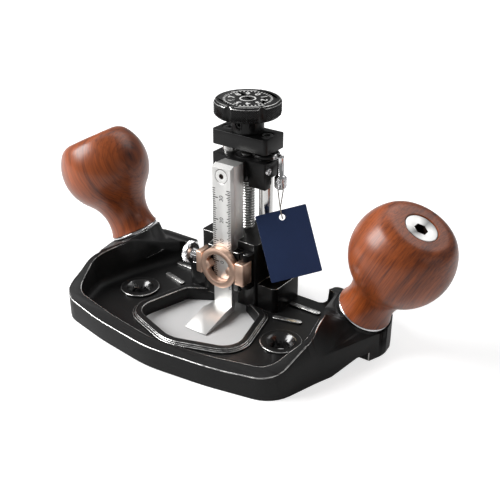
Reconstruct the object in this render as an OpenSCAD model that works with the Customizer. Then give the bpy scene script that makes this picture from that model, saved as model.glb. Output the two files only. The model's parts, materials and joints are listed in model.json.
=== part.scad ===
// Hand router plane: a black tray-shaped sole with an open throat, a post that guides the
// blade, a depth screw with a knurled knob on top, and two turned wooden knobs.
// Millimetres. X runs across the tool, -Y is the front and Z = 0 is the sole.
// The lead screw stands on the origin.

/* [Sole] */
// Width over the outer walls at the handles
sole_w = 147; // [136:1:160]
// Lead screw axis to the front point
sole_front = 70; // [66:1:78]
// Lead screw axis to the back of the two rear wings
sole_back = 13; // [12:0.25:15]
// Lead screw axis to the rear edge of the floor
floor_back = 6.8; // [6.4:0.1:7.5]
// Clear width between the rear wings
wing_gap = 77; // [73:0.5:79]
// Width between the front corners before they are rounded
front_w = 111; // [102:1:115]
// How far the front corners lie behind the front point
front_sweep = 9; // [6:0.5:12]
// Bulge of each half of the front edge
front_bow = 1.2; // [0.4:0.1:2]
// Radius of the front corners
front_corner_r = 14; // [10:1:17]
// Radius of the rear corners
rear_corner_r = 18; // [14:0.5:19]
// Thickness of the floor
floor_t = 4.5; // [3.5:0.25:5.5]
// Height of the rim at the front
rim_h = 9.3; // [8:0.1:10.5]
// Width of the rim at the front
rim_w = 5; // [4:0.25:7]
// Height of the outer walls
wall_h = 11.6; // [10.8:0.1:13]
// Height of the ridge along the inner edge of the walls
crest_h = 20.3; // [18:0.1:22]
// Height of the wings at their back
wing_h = 11.4; // [10.4:0.1:12.5]
// Width of the flat on the ridge
crest_w = 1.4; // [1:0.1:2]
// Widest place of the tray inside its walls
tray_w = 114; // [108:1:116]
// Radius of the cove between the walls and the floor
cove_r = 3.5; // [2.5:0.25:4.5]

/* [Throat] */
// Lead screw axis to the front point of the throat
throat_front = 55; // [50:1:58]
// Width of the throat at its front corners
throat_w = 54; // [48:1:58]
// How far the front corners lie behind the front point
throat_sweep = 9; // [6:0.5:12]
// Width of the throat where it meets the post
throat_back_w = 40; // [36:1:44]
// Width of the raised lip round the throat
lip_w = 4.2; // [3:0.2:5]
// Height of the lip above the floor
lip_h = 1.7; // [1:0.1:2.4]

/* [Fixing holes] */
// Distance between the two holes through the floor
fix_spacing = 77.2; // [72:0.2:80]
// Lead screw axis to the line of the holes
fix_y = 30.5; // [27:0.5:34]
// Hole diameter
fix_d = 6; // [4:0.25:7]
// Outside diameter of the raised collar
fix_collar_d = 17.5; // [15:0.5:19]
// Height of the collar above the floor
fix_collar_h = 1.2; // [0.6:0.1:2]
// Countersink diameter
fix_sink_d = 12; // [9:0.5:13]

/* [Post] */
// Width of the post
post_w = 29.2; // [28:0.2:34]
// Lead screw axis to the front face of the post
post_front = 14.4; // [13:0.2:15.4]
// Lead screw axis to the back face of the post
post_back = 6.8; // [5.5:0.2:7]
// Top of the post above the sole
post_top = 35.2; // [33:0.2:37]
// Width of the foot of the post
foot_w = 48; // [44:0.5:52]
// Lead screw axis to the front of the foot
foot_front = 13.2; // [12:0.2:14]
// Top of the foot above the sole
foot_top = 16.2; // [12:0.2:18]
// Width of the blade seat that stands out of the front
seat_w = 17; // [15.5:0.25:18]
// Underside of the blade seat above the sole
seat_bottom = 12.7; // [10:0.1:14]
// Top of the blade seat above the sole
seat_top = 31.4; // [30.9:0.1:33]
// Diameter of the two guide rods
rod_d = 6; // [5:0.25:6.5]
// Distance between the guide rods
rod_spacing = 19; // [18:0.25:20]
// Diameter of the lead screw
lead_d = 6; // [5:0.25:6.5]

/* [Head] */
// Width of the top plate
plate_w = 28; // [27:0.25:30]
// Depth of the top plate
plate_d = 14; // [13:0.25:16]
// Thickness of the top plate
plate_t = 6.5; // [5.5:0.25:8]
// Underside of the top plate above the sole
plate_z = 72.9; // [72.5:0.1:78]
// Diameter of the adjuster knob
knob_d = 28.7; // [24:0.1:34]
// Height of the knob's rim
knob_h = 6.7; // [5.5:0.1:9]
// Length of the knob's neck
neck_h = 6.3; // [5:0.1:9]
// Diameter of the knob's neck
neck_d = 13.8; // [11:0.1:15]
// Number of finger scallops in the rim
knob_scallops = 6; // [4:1:10]

/* [Slide and blade] */
// Width of the slide block
slide_w = 27.6; // [27:0.2:29]
// Depth of the slide block
slide_d = 14; // [13.5:0.1:15]
// Top of the slide block above the sole
slide_top = 69; // [67:0.1:69]
// Thickness of the slide block over the rods
slide_t = 7; // [6:0.25:8]
// Further drop of the two skirts at the front
skirt_h = 4.3; // [2:0.1:5]
// Width of the blade and of the bar behind it
blade_w = 9.5; // [8:0.25:10]
// Thickness of the blade's shank
blade_t = 2.5; // [1.8:0.1:3]
// Depth of the bar behind the blade, front to back
bar_d = 6.4; // [5:0.1:7]
// Lower end of the bar above the sole
bar_bottom = 4.5; // [2:0.25:8]
// Top of the blade and the bar above the sole
blade_top = 69.5; // [66:0.1:70]
// Reach of the blade's foot in front of its shank
toe_reach = 19.8; // [14:0.2:22]
// Width of the cutting edge
toe_w = 11.4; // [9.5:0.1:13]
// Thickness of the blade's foot at the bend
toe_t = 3.9; // [3:0.1:5]
// Length of the bevel that leads to the cutting edge
bevel_l = 12.7; // [8:0.1:14]

/* [Clamp] */
// Height of the middle of the clamp ring above the sole
ring_z = 23.5; // [22.5:0.1:24]
// Outside diameter of the clamp ring
ring_d = 18.6; // [17:0.1:19]
// Inside diameter of the clamp ring
ring_bore = 12.4; // [11:0.1:13.5]
// Thickness of the clamp ring
ring_t = 3.4; // [2.4:0.1:4]
// Height of the clamp's two lugs
lug_h = 10.4; // [8:0.1:10.8]
// Thickness of the left lug, which holds the thumbscrew
lug_t = 3.2; // [2.8:0.1:4.4]
// Diameter of the clamp's hinge knuckle
knuckle_d = 4.8; // [4:0.1:4.8]
// Diameter of the thumbscrew's head
thumb_d = 9.7; // [8:0.1:12]
// Diameter of the lock knob
lock_d = 18; // [14:0.25:18.5]
// Thickness of the lock knob
lock_t = 6; // [4:0.25:6.5]

/* [Handles] */
// Outer wall to the middle of a ferrule
handle_inset = 11.1; // [10:0.1:12.5]
// Lead screw axis to the ferrules, front to back, as a minus value
handle_y = -6.2; // [-8:0.2:-4]
// Height of the ferrules' seats above the sole
handle_z = 16.5; // [15.6:0.1:18]
// Outward tilt of the handles
handle_tilt = 27; // [20:1:32]
// Forward lean of the handles
handle_lean = 2.6; // [0:0.2:5]
// Diameter of the ferrules
ferrule_d = 22.8; // [22.2:0.1:25]
// Thickness of the ferrules
ferrule_t = 2.2; // [1.6:0.1:3]
// Length of a wooden knob
grip_l = 48.4; // [44:0.4:54]
// Largest diameter of a wooden knob
grip_d = 41.6; // [38:0.2:44]
// Neck diameter of a wooden knob
grip_neck_d = 20.4; // [18:0.2:21]
// Ferrule to the narrowest place of the neck
grip_neck_s = 6.5; // [5:0.25:7]
// End of the knob to the middle of its ball
grip_ball_s = 15.5; // [14:0.25:17]
// Rounding at the end of a wooden knob
grip_end_r = 8; // [6:0.25:9]
// Diameter of the bolt's head
cap_d = 13.5; // [11:0.1:16]
// Diameter of the handle bolts
bolt_d = 6; // [5:0.25:8]

/* [Hang tag] */
// Width of the card
tag_w = 22; // [18:0.5:23]
// Height of the card
tag_h = 29; // [27:0.5:31]
// Thickness of the card
tag_t = 0.6; // [0.4:0.1:0.8]
// Thickness of the string
string_d = 0.6; // [0.4:0.1:0.7]

/* [Fits] */
// Gap between faces that slide or turn on each other
run_gap = 0.05; // [0.03:0.01:0.08]
// Gap between pieces that stand clear of each other
clear_gap = 0.3; // [0.2:0.05:0.4]

/* [Hidden] */
$fn = 48;
eps = 0.01;
arc_n = 6;

// Plan control points of the sole, right half from the front point backwards
front_y = -sole_front + front_sweep;
flare_end = sole_back - rear_corner_r - 3;
side_y = front_y + 21;
side_dip = 0.8;
flare = (sole_w - front_w) / 2 * (side_y - front_y) / (flare_end - front_y) - side_dip;
side_half = [
    [0, -sole_front],
    [front_w / 4, -sole_front + front_sweep / 2 - front_bow],
    [front_w / 2, front_y],
    [front_w / 2 + flare, side_y],
    [sole_w / 2, flare_end]
];
side_half_r = [60, 120, front_corner_r, 100, 12];
sole_half = concat(side_half, [
    [sole_w / 2, sole_back],
    [wing_gap / 2, sole_back],
    [wing_gap / 2, floor_back]
]);
sole_half_r = concat(side_half_r, [rear_corner_r, 2.6, 1.2]);

// Plan control points of the tray: its wall runs diagonally behind the handle to the wing
open_run = 14;
ridge_bend = (flare_end + side_y) / 2 + 2;
tray_half = [
    [0, -sole_front + rim_w],
    [front_w / 4, -sole_front + front_sweep / 2 - front_bow + rim_w],
    [front_w / 2 - 4.5, front_y + 3.5],
    [tray_w / 2, side_y],
    [tray_w / 2 - 4, ridge_bend],
    [wing_gap / 2 + 5, floor_back - 0.6],
    [wing_gap / 2, floor_back + 1.2],
    [wing_gap / 2, sole_back + open_run]
];
tray_half_r = [60, 120, front_corner_r - 5, 14, 24, 6, 2, 1];
// The sides of the loft run straight on behind the wings, where the plan cuts it off
loft_half = concat(side_half, [for (y = [8, 15, sole_back + open_run]) [sole_w / 2, y]]);
loft_half_r = concat(side_half_r, [1, 1, 3]);
tray_top = crest_h + 2;
// The rim climbs from the front to the handles and falls again to the rear edge
climb_from = -sole_front + 5;
climb_to = -sole_front + 42;
fall_from = handle_y - 12;

// Throat control points, right half
post_gap_y = post_front - 4.6;
throat_half = [
    [0, -throat_front],
    [throat_w / 2, -throat_front + throat_sweep],
    [throat_back_w / 2, -foot_front - 6.5],
    [blade_w / 2 + 2.6, -foot_front + 1],
    [blade_w / 2 + 2.6, -post_gap_y + 1.2]
];
throat_half_r = [14, 8, 3, 2, 1];

// Levels that follow from the driving sizes
blade_front = post_front + 4.45;
blade_back = blade_front - blade_t;
bar_front = blade_back - run_gap;
bar_back = bar_front - bar_d;
seat_front = blade_front - 0.45;
ring_back = blade_front + 0.15;
slide_z = slide_top - slide_t;
plate_top = plate_z + plate_t;
washer_t = 0.8;
knob_z = plate_top + washer_t + run_gap;
knob_top = knob_z + neck_h + knob_h;
journal_d = lead_d - 0.8;
clip_t = 1.5;
clip_d = 9.2;
journal_z = plate_z - clear_gap - clip_t;
rod_x = rod_spacing / 2;
rod_socket_z = floor_t + 3.5;
foot_back = floor_back - 0.3;

// Clamp hinge: the knuckle fits in the corner between the seat and the post
hinge_x = seat_w / 2 + clear_gap + knuckle_d / 2;
hinge_y = -(post_front + clear_gap + knuckle_d / 2);
hinge_pin_d = 2.4;
ear_h = 2.5;
thumb_shank_d = 3.4;
thumb_neck_d = 4.6;
thumb_neck_l = 5.5;
thumb_t = 3;
lock_z = 26;
lock_shank_d = 4;
lock_boss_d = 9;
lock_boss_x = post_w / 2 + 2.9;

// Screws
post_screw_d = 4;
post_screw_xy = [for (sx = [-1, 1], y = [-8.5, 2]) [sx * (foot_w / 2 - 5), y]];
plate_screw_d = 3.5;
plate_screw_head_d = 6.2;
plate_screw_head_h = 3.4;
plate_screw_l = 8;
blade_screw_d = 4;
blade_screw_z = slide_top - 4.3;
nut_d = 10.9;
nut_screw_d = 3;
nut_screw_y = -slide_d / 2 + 2;
nut_screw_z = slide_top - 3.4;
tongue_w = blade_w - 1;

// Handle bolt, along the handle's own axis from the seat of the ferrule
bolt_bore_l = 9;
cap_t = 2.2;
boss_l = 11.8;
boss_d = ferrule_d + 1.5;
handle_spacing = sole_w - 2 * handle_inset;

// Hang tag: it leans on the lock knob and faces forward and right
tag_turn = 35.8;
tag_lean = 27.3;
tag_skew = 14;
tag_centre = [25.7, -6.35, 36.5];
tag_hole_d = 2.6;
tag_hole_drop = 3.1;
clasp_wire_d = 2.5;
clasp_arm_d = 2.9;
clasp_barrel_d = 5.2;
clasp_z = slide_top + 1.9;
clasp_x = 16.8;
clasp_barrel_z = [57, 63.2];
// Route of the string from the clasp, down through the hole of the card and back up:
// the directions of the card's width, height and face, the hole, and the U-turn through it
tag_u = [cos(tag_turn), sin(tag_turn), 0];
tag_v = [-sin(tag_lean) * sin(tag_turn), sin(tag_lean) * cos(tag_turn), cos(tag_lean)];
tag_up = cos(tag_skew) * tag_v - sin(tag_skew) * tag_u;
tag_face = cross(tag_u, tag_v);
tag_hole = tag_centre + (tag_h / 2 - tag_hole_drop) * tag_up;
turn_r = 1.1;
turn_mid = tag_hole + 0.4 * tag_up;
string_front = [clasp_x - 0.8, 0.2, clasp_barrel_z[0]];
string_rear = [clasp_x + 0.8, 0, clasp_barrel_z[0]];
string_drop = [0, 0, 1.2];
front_edge = turn_mid + turn_r * tag_face + 3 * tag_up;
rear_edge = turn_mid - turn_r * tag_face + 3 * tag_up;
string_route = concat(
    [string_front, string_front - string_drop],
    [for (t = [0.3, 0.5, 0.7, 0.85])
        string_front - string_drop + t * (front_edge - string_front + string_drop)],
    [front_edge - 0.4 * tag_up, front_edge - 1.6 * tag_up],
    [for (a = [0:22.5:180]) turn_mid + turn_r * (cos(a) * tag_face - sin(a) * tag_up)],
    [rear_edge - 1.6 * tag_up, rear_edge - 0.4 * tag_up],
    [for (t = [0.85, 0.7, 0.5, 0.3])
        string_rear - string_drop + t * (rear_edge - string_rear + string_drop)],
    [string_rear - string_drop, string_rear]
);

black = [0.07, 0.07, 0.075];
steel = [0.72, 0.72, 0.71];
chrome = [0.82, 0.82, 0.83];
bronze = [0.72, 0.47, 0.36];
brass = [0.8, 0.62, 0.27];
rosewood = [0.38, 0.16, 0.09];
navy = [0.07, 0.12, 0.25];

// Outline tools: points run anticlockwise, so the inside lies to the left of each edge
function unit(v) = v / norm(v);
function left_of(v) = [-v.y, v.x];
function both_sides(half) =
    concat(half, [for (i = [len(half) - 1:-1:1]) [-half[i].x, half[i].y]]);
function both_radii(half) = concat(half, [for (i = [len(half) - 1:-1:1]) half[i]]);
function before(list, i) = list[(i + len(list) - 1) % len(list)];
function after(list, i) = list[(i + 1) % len(list)];

// A corner moved inwards by d, square to both of its edges
function inset_corner(a, b, c, d) =
    let (m = left_of(unit(b - a)), n = left_of(unit(c - b)))
    b + d * (m + n) / (1 + m * n);
function inset(pts, d) =
    [for (i = [0:len(pts) - 1]) inset_corner(before(pts, i), pts[i], after(pts, i), d)];

// A corner replaced by an arc of radius r
function arc_corner(a, b, c, r) =
    let (u = unit(a - b), v = unit(c - b))
    norm(u + v) < 0.001
    ? [for (k = [0:arc_n]) b + r * (k / arc_n - 0.5) * v]
    : let (
        half = acos(u * v) / 2,
        centre = b + unit(u + v) * r / sin(half),
        start = b + u * r / tan(half) - centre,
        first = atan2(start.y, start.x),
        turn = (u.x * v.y - u.y * v.x < 0 ? 1 : -1) * (180 - 2 * half)
    )
    [for (k = [0:arc_n]) centre + r * [cos(first + turn * k / arc_n), sin(first + turn * k / arc_n)]];
function rounded(pts, radii) =
    [for (i = [0:len(pts) - 1]) each arc_corner(before(pts, i), pts[i], after(pts, i), radii[i])];
function rounded_box(w, y0, y1, r) =
    rounded([[-w / 2, y0], [w / 2, y0], [w / 2, y1], [-w / 2, y1]], [r, r, r, r]);

// An outline lifted to a level
function at_level(pts, z) = [for (p = pts) [p.x, p.y, z]];

// A solid drawn through outlines that have the same number of points, lowest first
module loft(rings) {
    n = len(rings[0]);
    last = (len(rings) - 1) * n;
    polyhedron(
        points = [for (r = rings) each r],
        faces = concat(
            [for (i = [1:n - 2]) [0, i, i + 1]],
            [for (i = [1:n - 2]) [last, last + i + 1, last + i]],
            [for (j = [0:len(rings) - 2], i = [0:n - 1]) let (a = j * n + i, b = j * n + (i + 1) % n)
                each [[a, a + n, b + n], [a, b + n, b]]]
        )
    );
}

// Places a child on the seat of a handle: side is 1 on the right and -1 on the left
module on_handle(side) {
    translate([side * handle_spacing / 2, handle_y, handle_z])
        rotate([handle_lean, side * handle_tilt, 0])
            children();
}

// A side profile given in Y and Z, drawn across X between two places
module across(x0, x1) {
    translate([x0, 0, 0])
        rotate([90, 0, 90])
            linear_extrude(x1 - x0)
                children();
}

// A hexagonal socket, given by its width across flats
module hex_socket(flats, depth) {
    cylinder(d = flats / cos(30), h = depth, $fn = 6);
}

// Sole
// The walls lean in from the outline to a ridge round the tray, so the casting is drawn as a loft
module sole_body() {
    base = rounded(both_sides(loft_half), both_radii(loft_half_r));
    ridge = rounded(
        inset(both_sides(tray_half), -crest_w),
        [for (r = both_radii(tray_half_r)) r + crest_w]
    );
    intersection() {
        loft([at_level(base, -1), at_level(base, wall_h), at_level(ridge, crest_h)]);
        linear_extrude(tray_top)
            polygon(rounded(both_sides(sole_half), both_radii(sole_half_r)));
    }
}

// The hollow of the tray: a cove at the floor, then walls with a little draft
module tray_hollow() {
    outline = both_sides(tray_half);
    radii = both_radii(tray_half_r);
    draft = 1;
    steps = 4;
    loft([
        for (k = [0:steps])
            let (a = 90 * k / steps)
            at_level(
                rounded(inset(outline, draft + cove_r * (1 - sin(a))), radii),
                floor_t + cove_r * (1 - cos(a))
            ),
        at_level(rounded(outline, radii), tray_top)
    ]);
}

// What lies above the rim: low at the front, highest in front of the handles, lower at the rear edge
module above_rim() {
    steps = 10;
    rear = sole_back + open_run;
    across(-sole_w, sole_w)
        polygon(concat(
            [[-sole_front - 5, rim_h]],
            [for (k = [0:steps])
                [climb_from + (climb_to - climb_from) * k / steps,
                    rim_h + (crest_h + eps - rim_h) * pow(sin(90 * k / steps), 1.3)]],
            [for (k = [0:steps])
                [fall_from + (sole_back - fall_from) * k / steps,
                    wing_h + (crest_h + eps - wing_h) * pow(1 - k / steps, 1.35)]],
            [[rear, wing_h], [rear, tray_top + 20], [-sole_front - 5, tray_top + 20]]
        ));
}

module throat_outline(grow) {
    pts = both_sides(throat_half);
    radii = both_radii(throat_half_r);
    polygon(rounded(inset(pts, -grow), [for (r = radii) r + grow]));
}

// The lip stops in front of the foot of the post
module throat_lip() {
    intersection() {
        union() {
            translate([0, 0, floor_t - 1])
                linear_extrude(1 + lip_h / 2)
                    throat_outline(lip_w);
            translate([0, 0, floor_t - 1])
                linear_extrude(1 + lip_h)
                    throat_outline(lip_w * 0.7);
        }
        translate([-sole_w / 2, -sole_front, 0])
            cube([sole_w, sole_front - post_front - clear_gap, crest_h]);
    }
}

// Short raised ribs that stiffen the floor on both sides of the post
module floor_rib(from, to) {
    w = 2.4;
    run = to - from;
    translate([from.x, from.y, floor_t - 1])
        rotate([0, 0, atan2(run.y, run.x)])
            linear_extrude(2)
                union() {
                    circle(d = w);
                    translate([0, -w / 2])
                        square([norm(run), w]);
                    translate([norm(run), 0])
                        circle(d = w);
                }
}

// Finger relief under the outer wall, in front of the handle
module side_relief() {
    across(sole_w / 2 - 14, sole_w / 2 + 5)
        polygon([[-33, -1], [-33, 0], [-21, 4], [-15, 4], [-15, -1]]);
}

module fixing_hole() {
    sink_h = (fix_sink_d - fix_d) / 2;
    top = floor_t + fix_collar_h;
    translate([0, 0, -1])
        cylinder(d = fix_d, h = top + 2);
    translate([0, 0, top - sink_h])
        cylinder(d1 = fix_d, d2 = fix_sink_d, h = sink_h + eps);
}

module post_screw_cut(gap) {
    d = post_screw_d + 2 * gap;
    head = 2 * post_screw_d;
    cylinder(d = d, h = foot_top - 3);
    translate([0, 0, -eps])
        cylinder(d1 = head + 2 * gap, d2 = d, h = post_screw_d / 2);
}

module handle_boss() {
    translate([0, 0, -boss_l])
        cylinder(d = boss_d, h = boss_l);
}

module sole_plate() {
    color(black)
        difference() {
            union() {
                difference() {
                    sole_body();
                    tray_hollow();
                    above_rim();
                }
                throat_lip();
                for (s = [-1, 1]) {
                    on_handle(s) handle_boss();
                    translate([s * fix_spacing / 2, -fix_y, floor_t - 1])
                        cylinder(d = fix_collar_d, h = 1 + fix_collar_h);
                    floor_rib([s * 25.6, -2.4], [s * 39, -2.4]);
                    floor_rib([s * 26, -16], [s * 36.5, -13.4]);
                }
            }
            translate([0, 0, -1])
                linear_extrude(crest_h)
                    throat_outline(0);
            for (s = [-1, 1]) {
                translate([s * fix_spacing / 2, -fix_y, 0]) fixing_hole();
                mirror([s < 0 ? 1 : 0, 0, 0]) side_relief();
                on_handle(s) {
                    translate([0, 0, -bolt_bore_l])
                        cylinder(d = bolt_d + 2 * run_gap, h = bolt_bore_l + 1);
                    cylinder(d = boss_d, h = crest_h);
                }
            }
            for (p = post_screw_xy)
                translate([p.x, p.y, 0]) post_screw_cut(run_gap);
        }
}

// Post
module post_housing() {
    slot = blade_w + 2 * run_gap;
    color(black)
        difference() {
            union() {
                translate([0, 0, floor_t])
                    linear_extrude(foot_top - floor_t)
                        polygon(rounded_box(foot_w, -foot_front, foot_back, 2.5));
                translate([0, 0, floor_t])
                    linear_extrude(post_top - floor_t)
                        polygon(rounded_box(post_w, -post_front, post_back, 1.5));
                translate([0, 0, seat_bottom])
                    linear_extrude(seat_top - seat_bottom)
                        polygon(rounded_box(seat_w, -seat_front, -post_front + 2, 0.8));
                for (z = [ring_z - lug_h / 2 - clear_gap - ear_h, ring_z + lug_h / 2 + clear_gap])
                    translate([hinge_x, hinge_y, z]) hinge_ear();
                translate([post_w / 2 - 1, 0, lock_z])
                    rotate([0, 90, 0])
                        cylinder(d = lock_boss_d, h = lock_boss_x - post_w / 2 + 1);
            }
            translate([-slot / 2, -post_front - 10, 0])
                cube([slot, post_front + 10 - bar_back + run_gap, post_top + 1]);
            for (s = [-1, 1])
                translate([s * rod_x, 0, rod_socket_z])
                    cylinder(d = rod_d + 2 * run_gap, h = post_top);
            translate([0, 0, rod_socket_z])
                cylinder(d = lead_d + 2 * run_gap, h = post_top);
            for (p = post_screw_xy)
                translate([p.x, p.y, 0]) post_screw_cut(run_gap);
            translate([hinge_x, hinge_y, 0])
                cylinder(d = hinge_pin_d + 2 * run_gap, h = post_top);
            translate([rod_x, 0, lock_z])
                rotate([0, 90, 0])
                    cylinder(d = lock_shank_d + 2 * run_gap, h = post_w);
        }
}

module hinge_ear() {
    back = -post_front - hinge_y + 1;
    linear_extrude(ear_h)
        union() {
            circle(d = knuckle_d);
            translate([-knuckle_d / 2, 0])
                square([knuckle_d, back]);
        }
}

module post_screws() {
    color(steel)
        for (p = post_screw_xy)
            translate([p.x, p.y, 0])
                difference() {
                    union() {
                        translate([0, 0, 0.3])
                            cylinder(d1 = 2 * post_screw_d - 0.6, d2 = post_screw_d,
                                h = post_screw_d / 2 - 0.3);
                        cylinder(d = post_screw_d, h = foot_top - 4);
                    }
                    translate([0, 0, -eps])
                        hex_socket(2.5, 1.5);
                    translate([0, 0, -1])
                        cylinder(d = post_screw_d + 1, h = 1.3);
                }
}

module guide_rod(side) {
    color(steel)
        translate([side * rod_x, 0, rod_socket_z])
            difference() {
                cylinder(d = rod_d, h = plate_z - rod_socket_z);
                translate([0, 0, plate_z - rod_socket_z - plate_screw_l - 1])
                    cylinder(d = plate_screw_d + 2 * run_gap, h = plate_screw_l + 2);
            }
}
module guide_rod_left() { guide_rod(-1); }
module guide_rod_right() { guide_rod(1); }

// Head
module top_plate() {
    color(black)
        difference() {
            translate([0, 0, plate_z])
                linear_extrude(plate_t)
                    polygon(rounded_box(plate_w, -plate_d / 2, plate_d / 2, 1.6));
            translate([0, 0, plate_z - 1])
                cylinder(d = journal_d + 2 * run_gap, h = plate_t + 2);
            for (s = [-1, 1])
                translate([s * rod_x, 0, plate_z - 1]) {
                    cylinder(d = plate_screw_d + 2 * run_gap, h = plate_t + 2);
                    translate([0, 0, 1 + plate_t - plate_screw_head_h - 0.2])
                        cylinder(d = plate_screw_head_d + 4 * run_gap, h = plate_t);
                }
        }
}

module plate_screws() {
    head_z = plate_top - plate_screw_head_h - 0.2;
    color(steel)
        for (s = [-1, 1])
            translate([s * rod_x, 0, head_z])
                difference() {
                    union() {
                        cylinder(d = plate_screw_head_d, h = plate_screw_head_h);
                        translate([0, 0, plate_z - head_z - plate_screw_l])
                            cylinder(d = plate_screw_d, h = head_z - plate_z + plate_screw_l + eps);
                    }
                    translate([0, 0, plate_screw_head_h - 2])
                        hex_socket(3, 3);
                }
}

module thrust_washer() {
    color(bronze)
        translate([0, 0, plate_top])
            difference() {
                cylinder(d = neck_d - 0.8, h = washer_t);
                translate([0, 0, -1])
                    cylinder(d = journal_d + 2 * run_gap, h = washer_t + 2);
            }
}

module lead_screw() {
    color(steel) {
        translate([0, 0, rod_socket_z + 1])
            cylinder(d = lead_d, h = journal_z - rod_socket_z - 1);
        translate([0, 0, journal_z - eps])
            cylinder(d = journal_d, h = knob_top - 2.2 - journal_z);
    }
}

module retaining_clip() {
    color(steel)
        translate([0, 0, journal_z])
            difference() {
                cylinder(d = clip_d, h = clip_t);
                translate([0, 0, -1])
                    cylinder(d = journal_d + 2 * run_gap, h = clip_t + 2);
                translate([-journal_d * 0.35, 0, -1])
                    cube([journal_d * 0.7, clip_d, clip_t + 2]);
            }
}

// The knob turns on the washer, with finger scallops cut into its rim
module adjuster_knob() {
    r = knob_d / 2;
    color(black)
        difference() {
            rotate_extrude()
                polygon([
                    [0, knob_z], [neck_d / 2, knob_z], [neck_d / 2, knob_z + neck_h],
                    [r - 0.8, knob_z + neck_h], [r, knob_z + neck_h + 0.8], [r, knob_top - 0.8],
                    [r - 0.8, knob_top], [0, knob_top]
                ]);
            for (k = [0:knob_scallops - 1])
                rotate([0, 0, 360 * (k + 0.5) / knob_scallops])
                    translate([r + 1.1, 0, knob_z + neck_h - 1])
                        cylinder(d = 3.8, h = knob_h + 2);
            translate([0, 0, knob_z - 1])
                cylinder(d = journal_d + 2 * run_gap, h = knob_top - knob_z - 1);
            translate([0, 0, knob_z + neck_h / 2])
                rotate([90, 0, 0])
                    cylinder(d = 3 + 2 * run_gap, h = neck_d);
        }
}

module knob_grub_screw() {
    color(steel)
        translate([0, -journal_d / 2 - 2 * run_gap, knob_z + neck_h / 2])
            rotate([90, 0, 0])
                difference() {
                    cylinder(d = 3, h = neck_d / 2 - journal_d / 2 - 0.6);
                    translate([0, 0, neck_d / 2 - journal_d / 2 - 2])
                        hex_socket(1.5, 3);
                }
}

// Slide
module slide_block() {
    color(black)
        difference() {
            union() {
                translate([0, 0, slide_z])
                    linear_extrude(slide_t)
                        polygon(rounded_box(slide_w, -slide_d / 2, slide_d / 2, 0.8));
                for (s = [-1, 1])
                    mirror([s < 0 ? 1 : 0, 0, 0])
                        translate([blade_w / 2 + 0.6, -slide_d / 2, slide_z - skirt_h])
                            cube([slide_w / 2 - blade_w / 2 - 0.6, slide_d / 2 - rod_d / 2 - clear_gap,
                                skirt_h + 1]);
                translate([-tongue_w / 2, -bar_back + run_gap, slide_z - 2])
                    cube([tongue_w, bar_back - slide_d / 2 + 1, slide_t + 2]);
            }
            for (s = [-1, 1])
                translate([s * rod_x, 0, slide_z - skirt_h - 1])
                    cylinder(d = rod_d + 2 * run_gap, h = slide_t + skirt_h + 2);
            translate([0, 0, slide_z - skirt_h - 1])
                cylinder(d = nut_d + 2 * run_gap, h = slide_t + skirt_h + 2);
            translate([nut_screw_tip(), nut_screw_y, nut_screw_z])
                rotate([0, 90, 0])
                    cylinder(d = nut_screw_d + 2 * run_gap, h = slide_w);
            translate([0, -slide_d / 2 + 0.9, blade_screw_z])
                rotate([90, 0, 0])
                    cylinder(d = blade_screw_d + 2 * run_gap, h = blade_front);
        }
}

// The nut's locking screw ends against the side of the nut
function nut_screw_tip() =
    sqrt(pow(nut_d / 2, 2) - pow(max(0, -nut_screw_y - nut_screw_d / 2), 2)) + clear_gap;

module lead_nut() {
    color(bronze)
        translate([0, 0, slide_z - skirt_h + 0.3])
            difference() {
                cylinder(d = nut_d, h = slide_t + skirt_h - 0.3);
                translate([0, 0, -1])
                    cylinder(d = lead_d + 2 * run_gap, h = slide_t + skirt_h + 2);
            }
}

module nut_lock_screw() {
    tip = nut_screw_tip();
    head = slide_w / 2 + 0.8;
    color(chrome)
        translate([tip, nut_screw_y, nut_screw_z])
            rotate([0, 90, 0])
                difference() {
                    cylinder(d = nut_screw_d, h = head - tip);
                    translate([0, 0, head - tip - 1.2])
                        hex_socket(1.5, 3);
                }
}

module blade_bar() {
    color(steel)
        difference() {
            translate([-blade_w / 2, -bar_front, bar_bottom])
                cube([blade_w, bar_d, blade_top - bar_bottom - 0.4]);
            translate([0, 0, blade_screw_z])
                rotate([90, 0, 0])
                    cylinder(d = blade_screw_d + 2 * run_gap, h = blade_front);
        }
}

// Blade: a straight shank, a bend, and a foot that is bevelled to the cutting edge
module blade() {
    heel = 0.9;
    edge = 0.2;
    bend_z = heel + toe_t - 0.7;
    toe_y = blade_front + toe_reach;
    bevel_y = toe_y - bevel_l;
    color(steel)
        difference() {
            union() {
                across(-blade_w / 2, blade_w / 2)
                    polygon([
                        [-blade_back, heel], [-bevel_y, edge + 0.4], [-bevel_y, bend_z],
                        [-blade_front, bend_z], [-blade_front, blade_top - 1.2], [-blade_back, blade_top]
                    ]);
                intersection() {
                    across(-toe_w / 2, toe_w / 2)
                        polygon([
                            [-blade_front, heel], [-toe_y, edge], [-toe_y, edge + 0.25],
                            [-bevel_y, bend_z], [-blade_front, bend_z]
                        ]);
                    translate([0, 0, -1])
                        linear_extrude(bend_z + 2)
                            polygon([
                                [-blade_w / 2, -blade_front], [-toe_w / 2, -bevel_y], [-toe_w / 2, -toe_y],
                                [toe_w / 2, -toe_y], [toe_w / 2, -bevel_y], [blade_w / 2, -blade_front]
                            ]);
                }
            }
            translate([0, 0, blade_screw_z])
                rotate([90, 0, 0])
                    cylinder(d = blade_screw_d + 2 * run_gap, h = blade_front + 5);
            translate([0, -blade_front + 1.3, blade_screw_z])
                rotate([90, 0, 0])
                    cylinder(d1 = blade_screw_d, d2 = blade_screw_d + 2.8, h = 1.4);
        }
}

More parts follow.
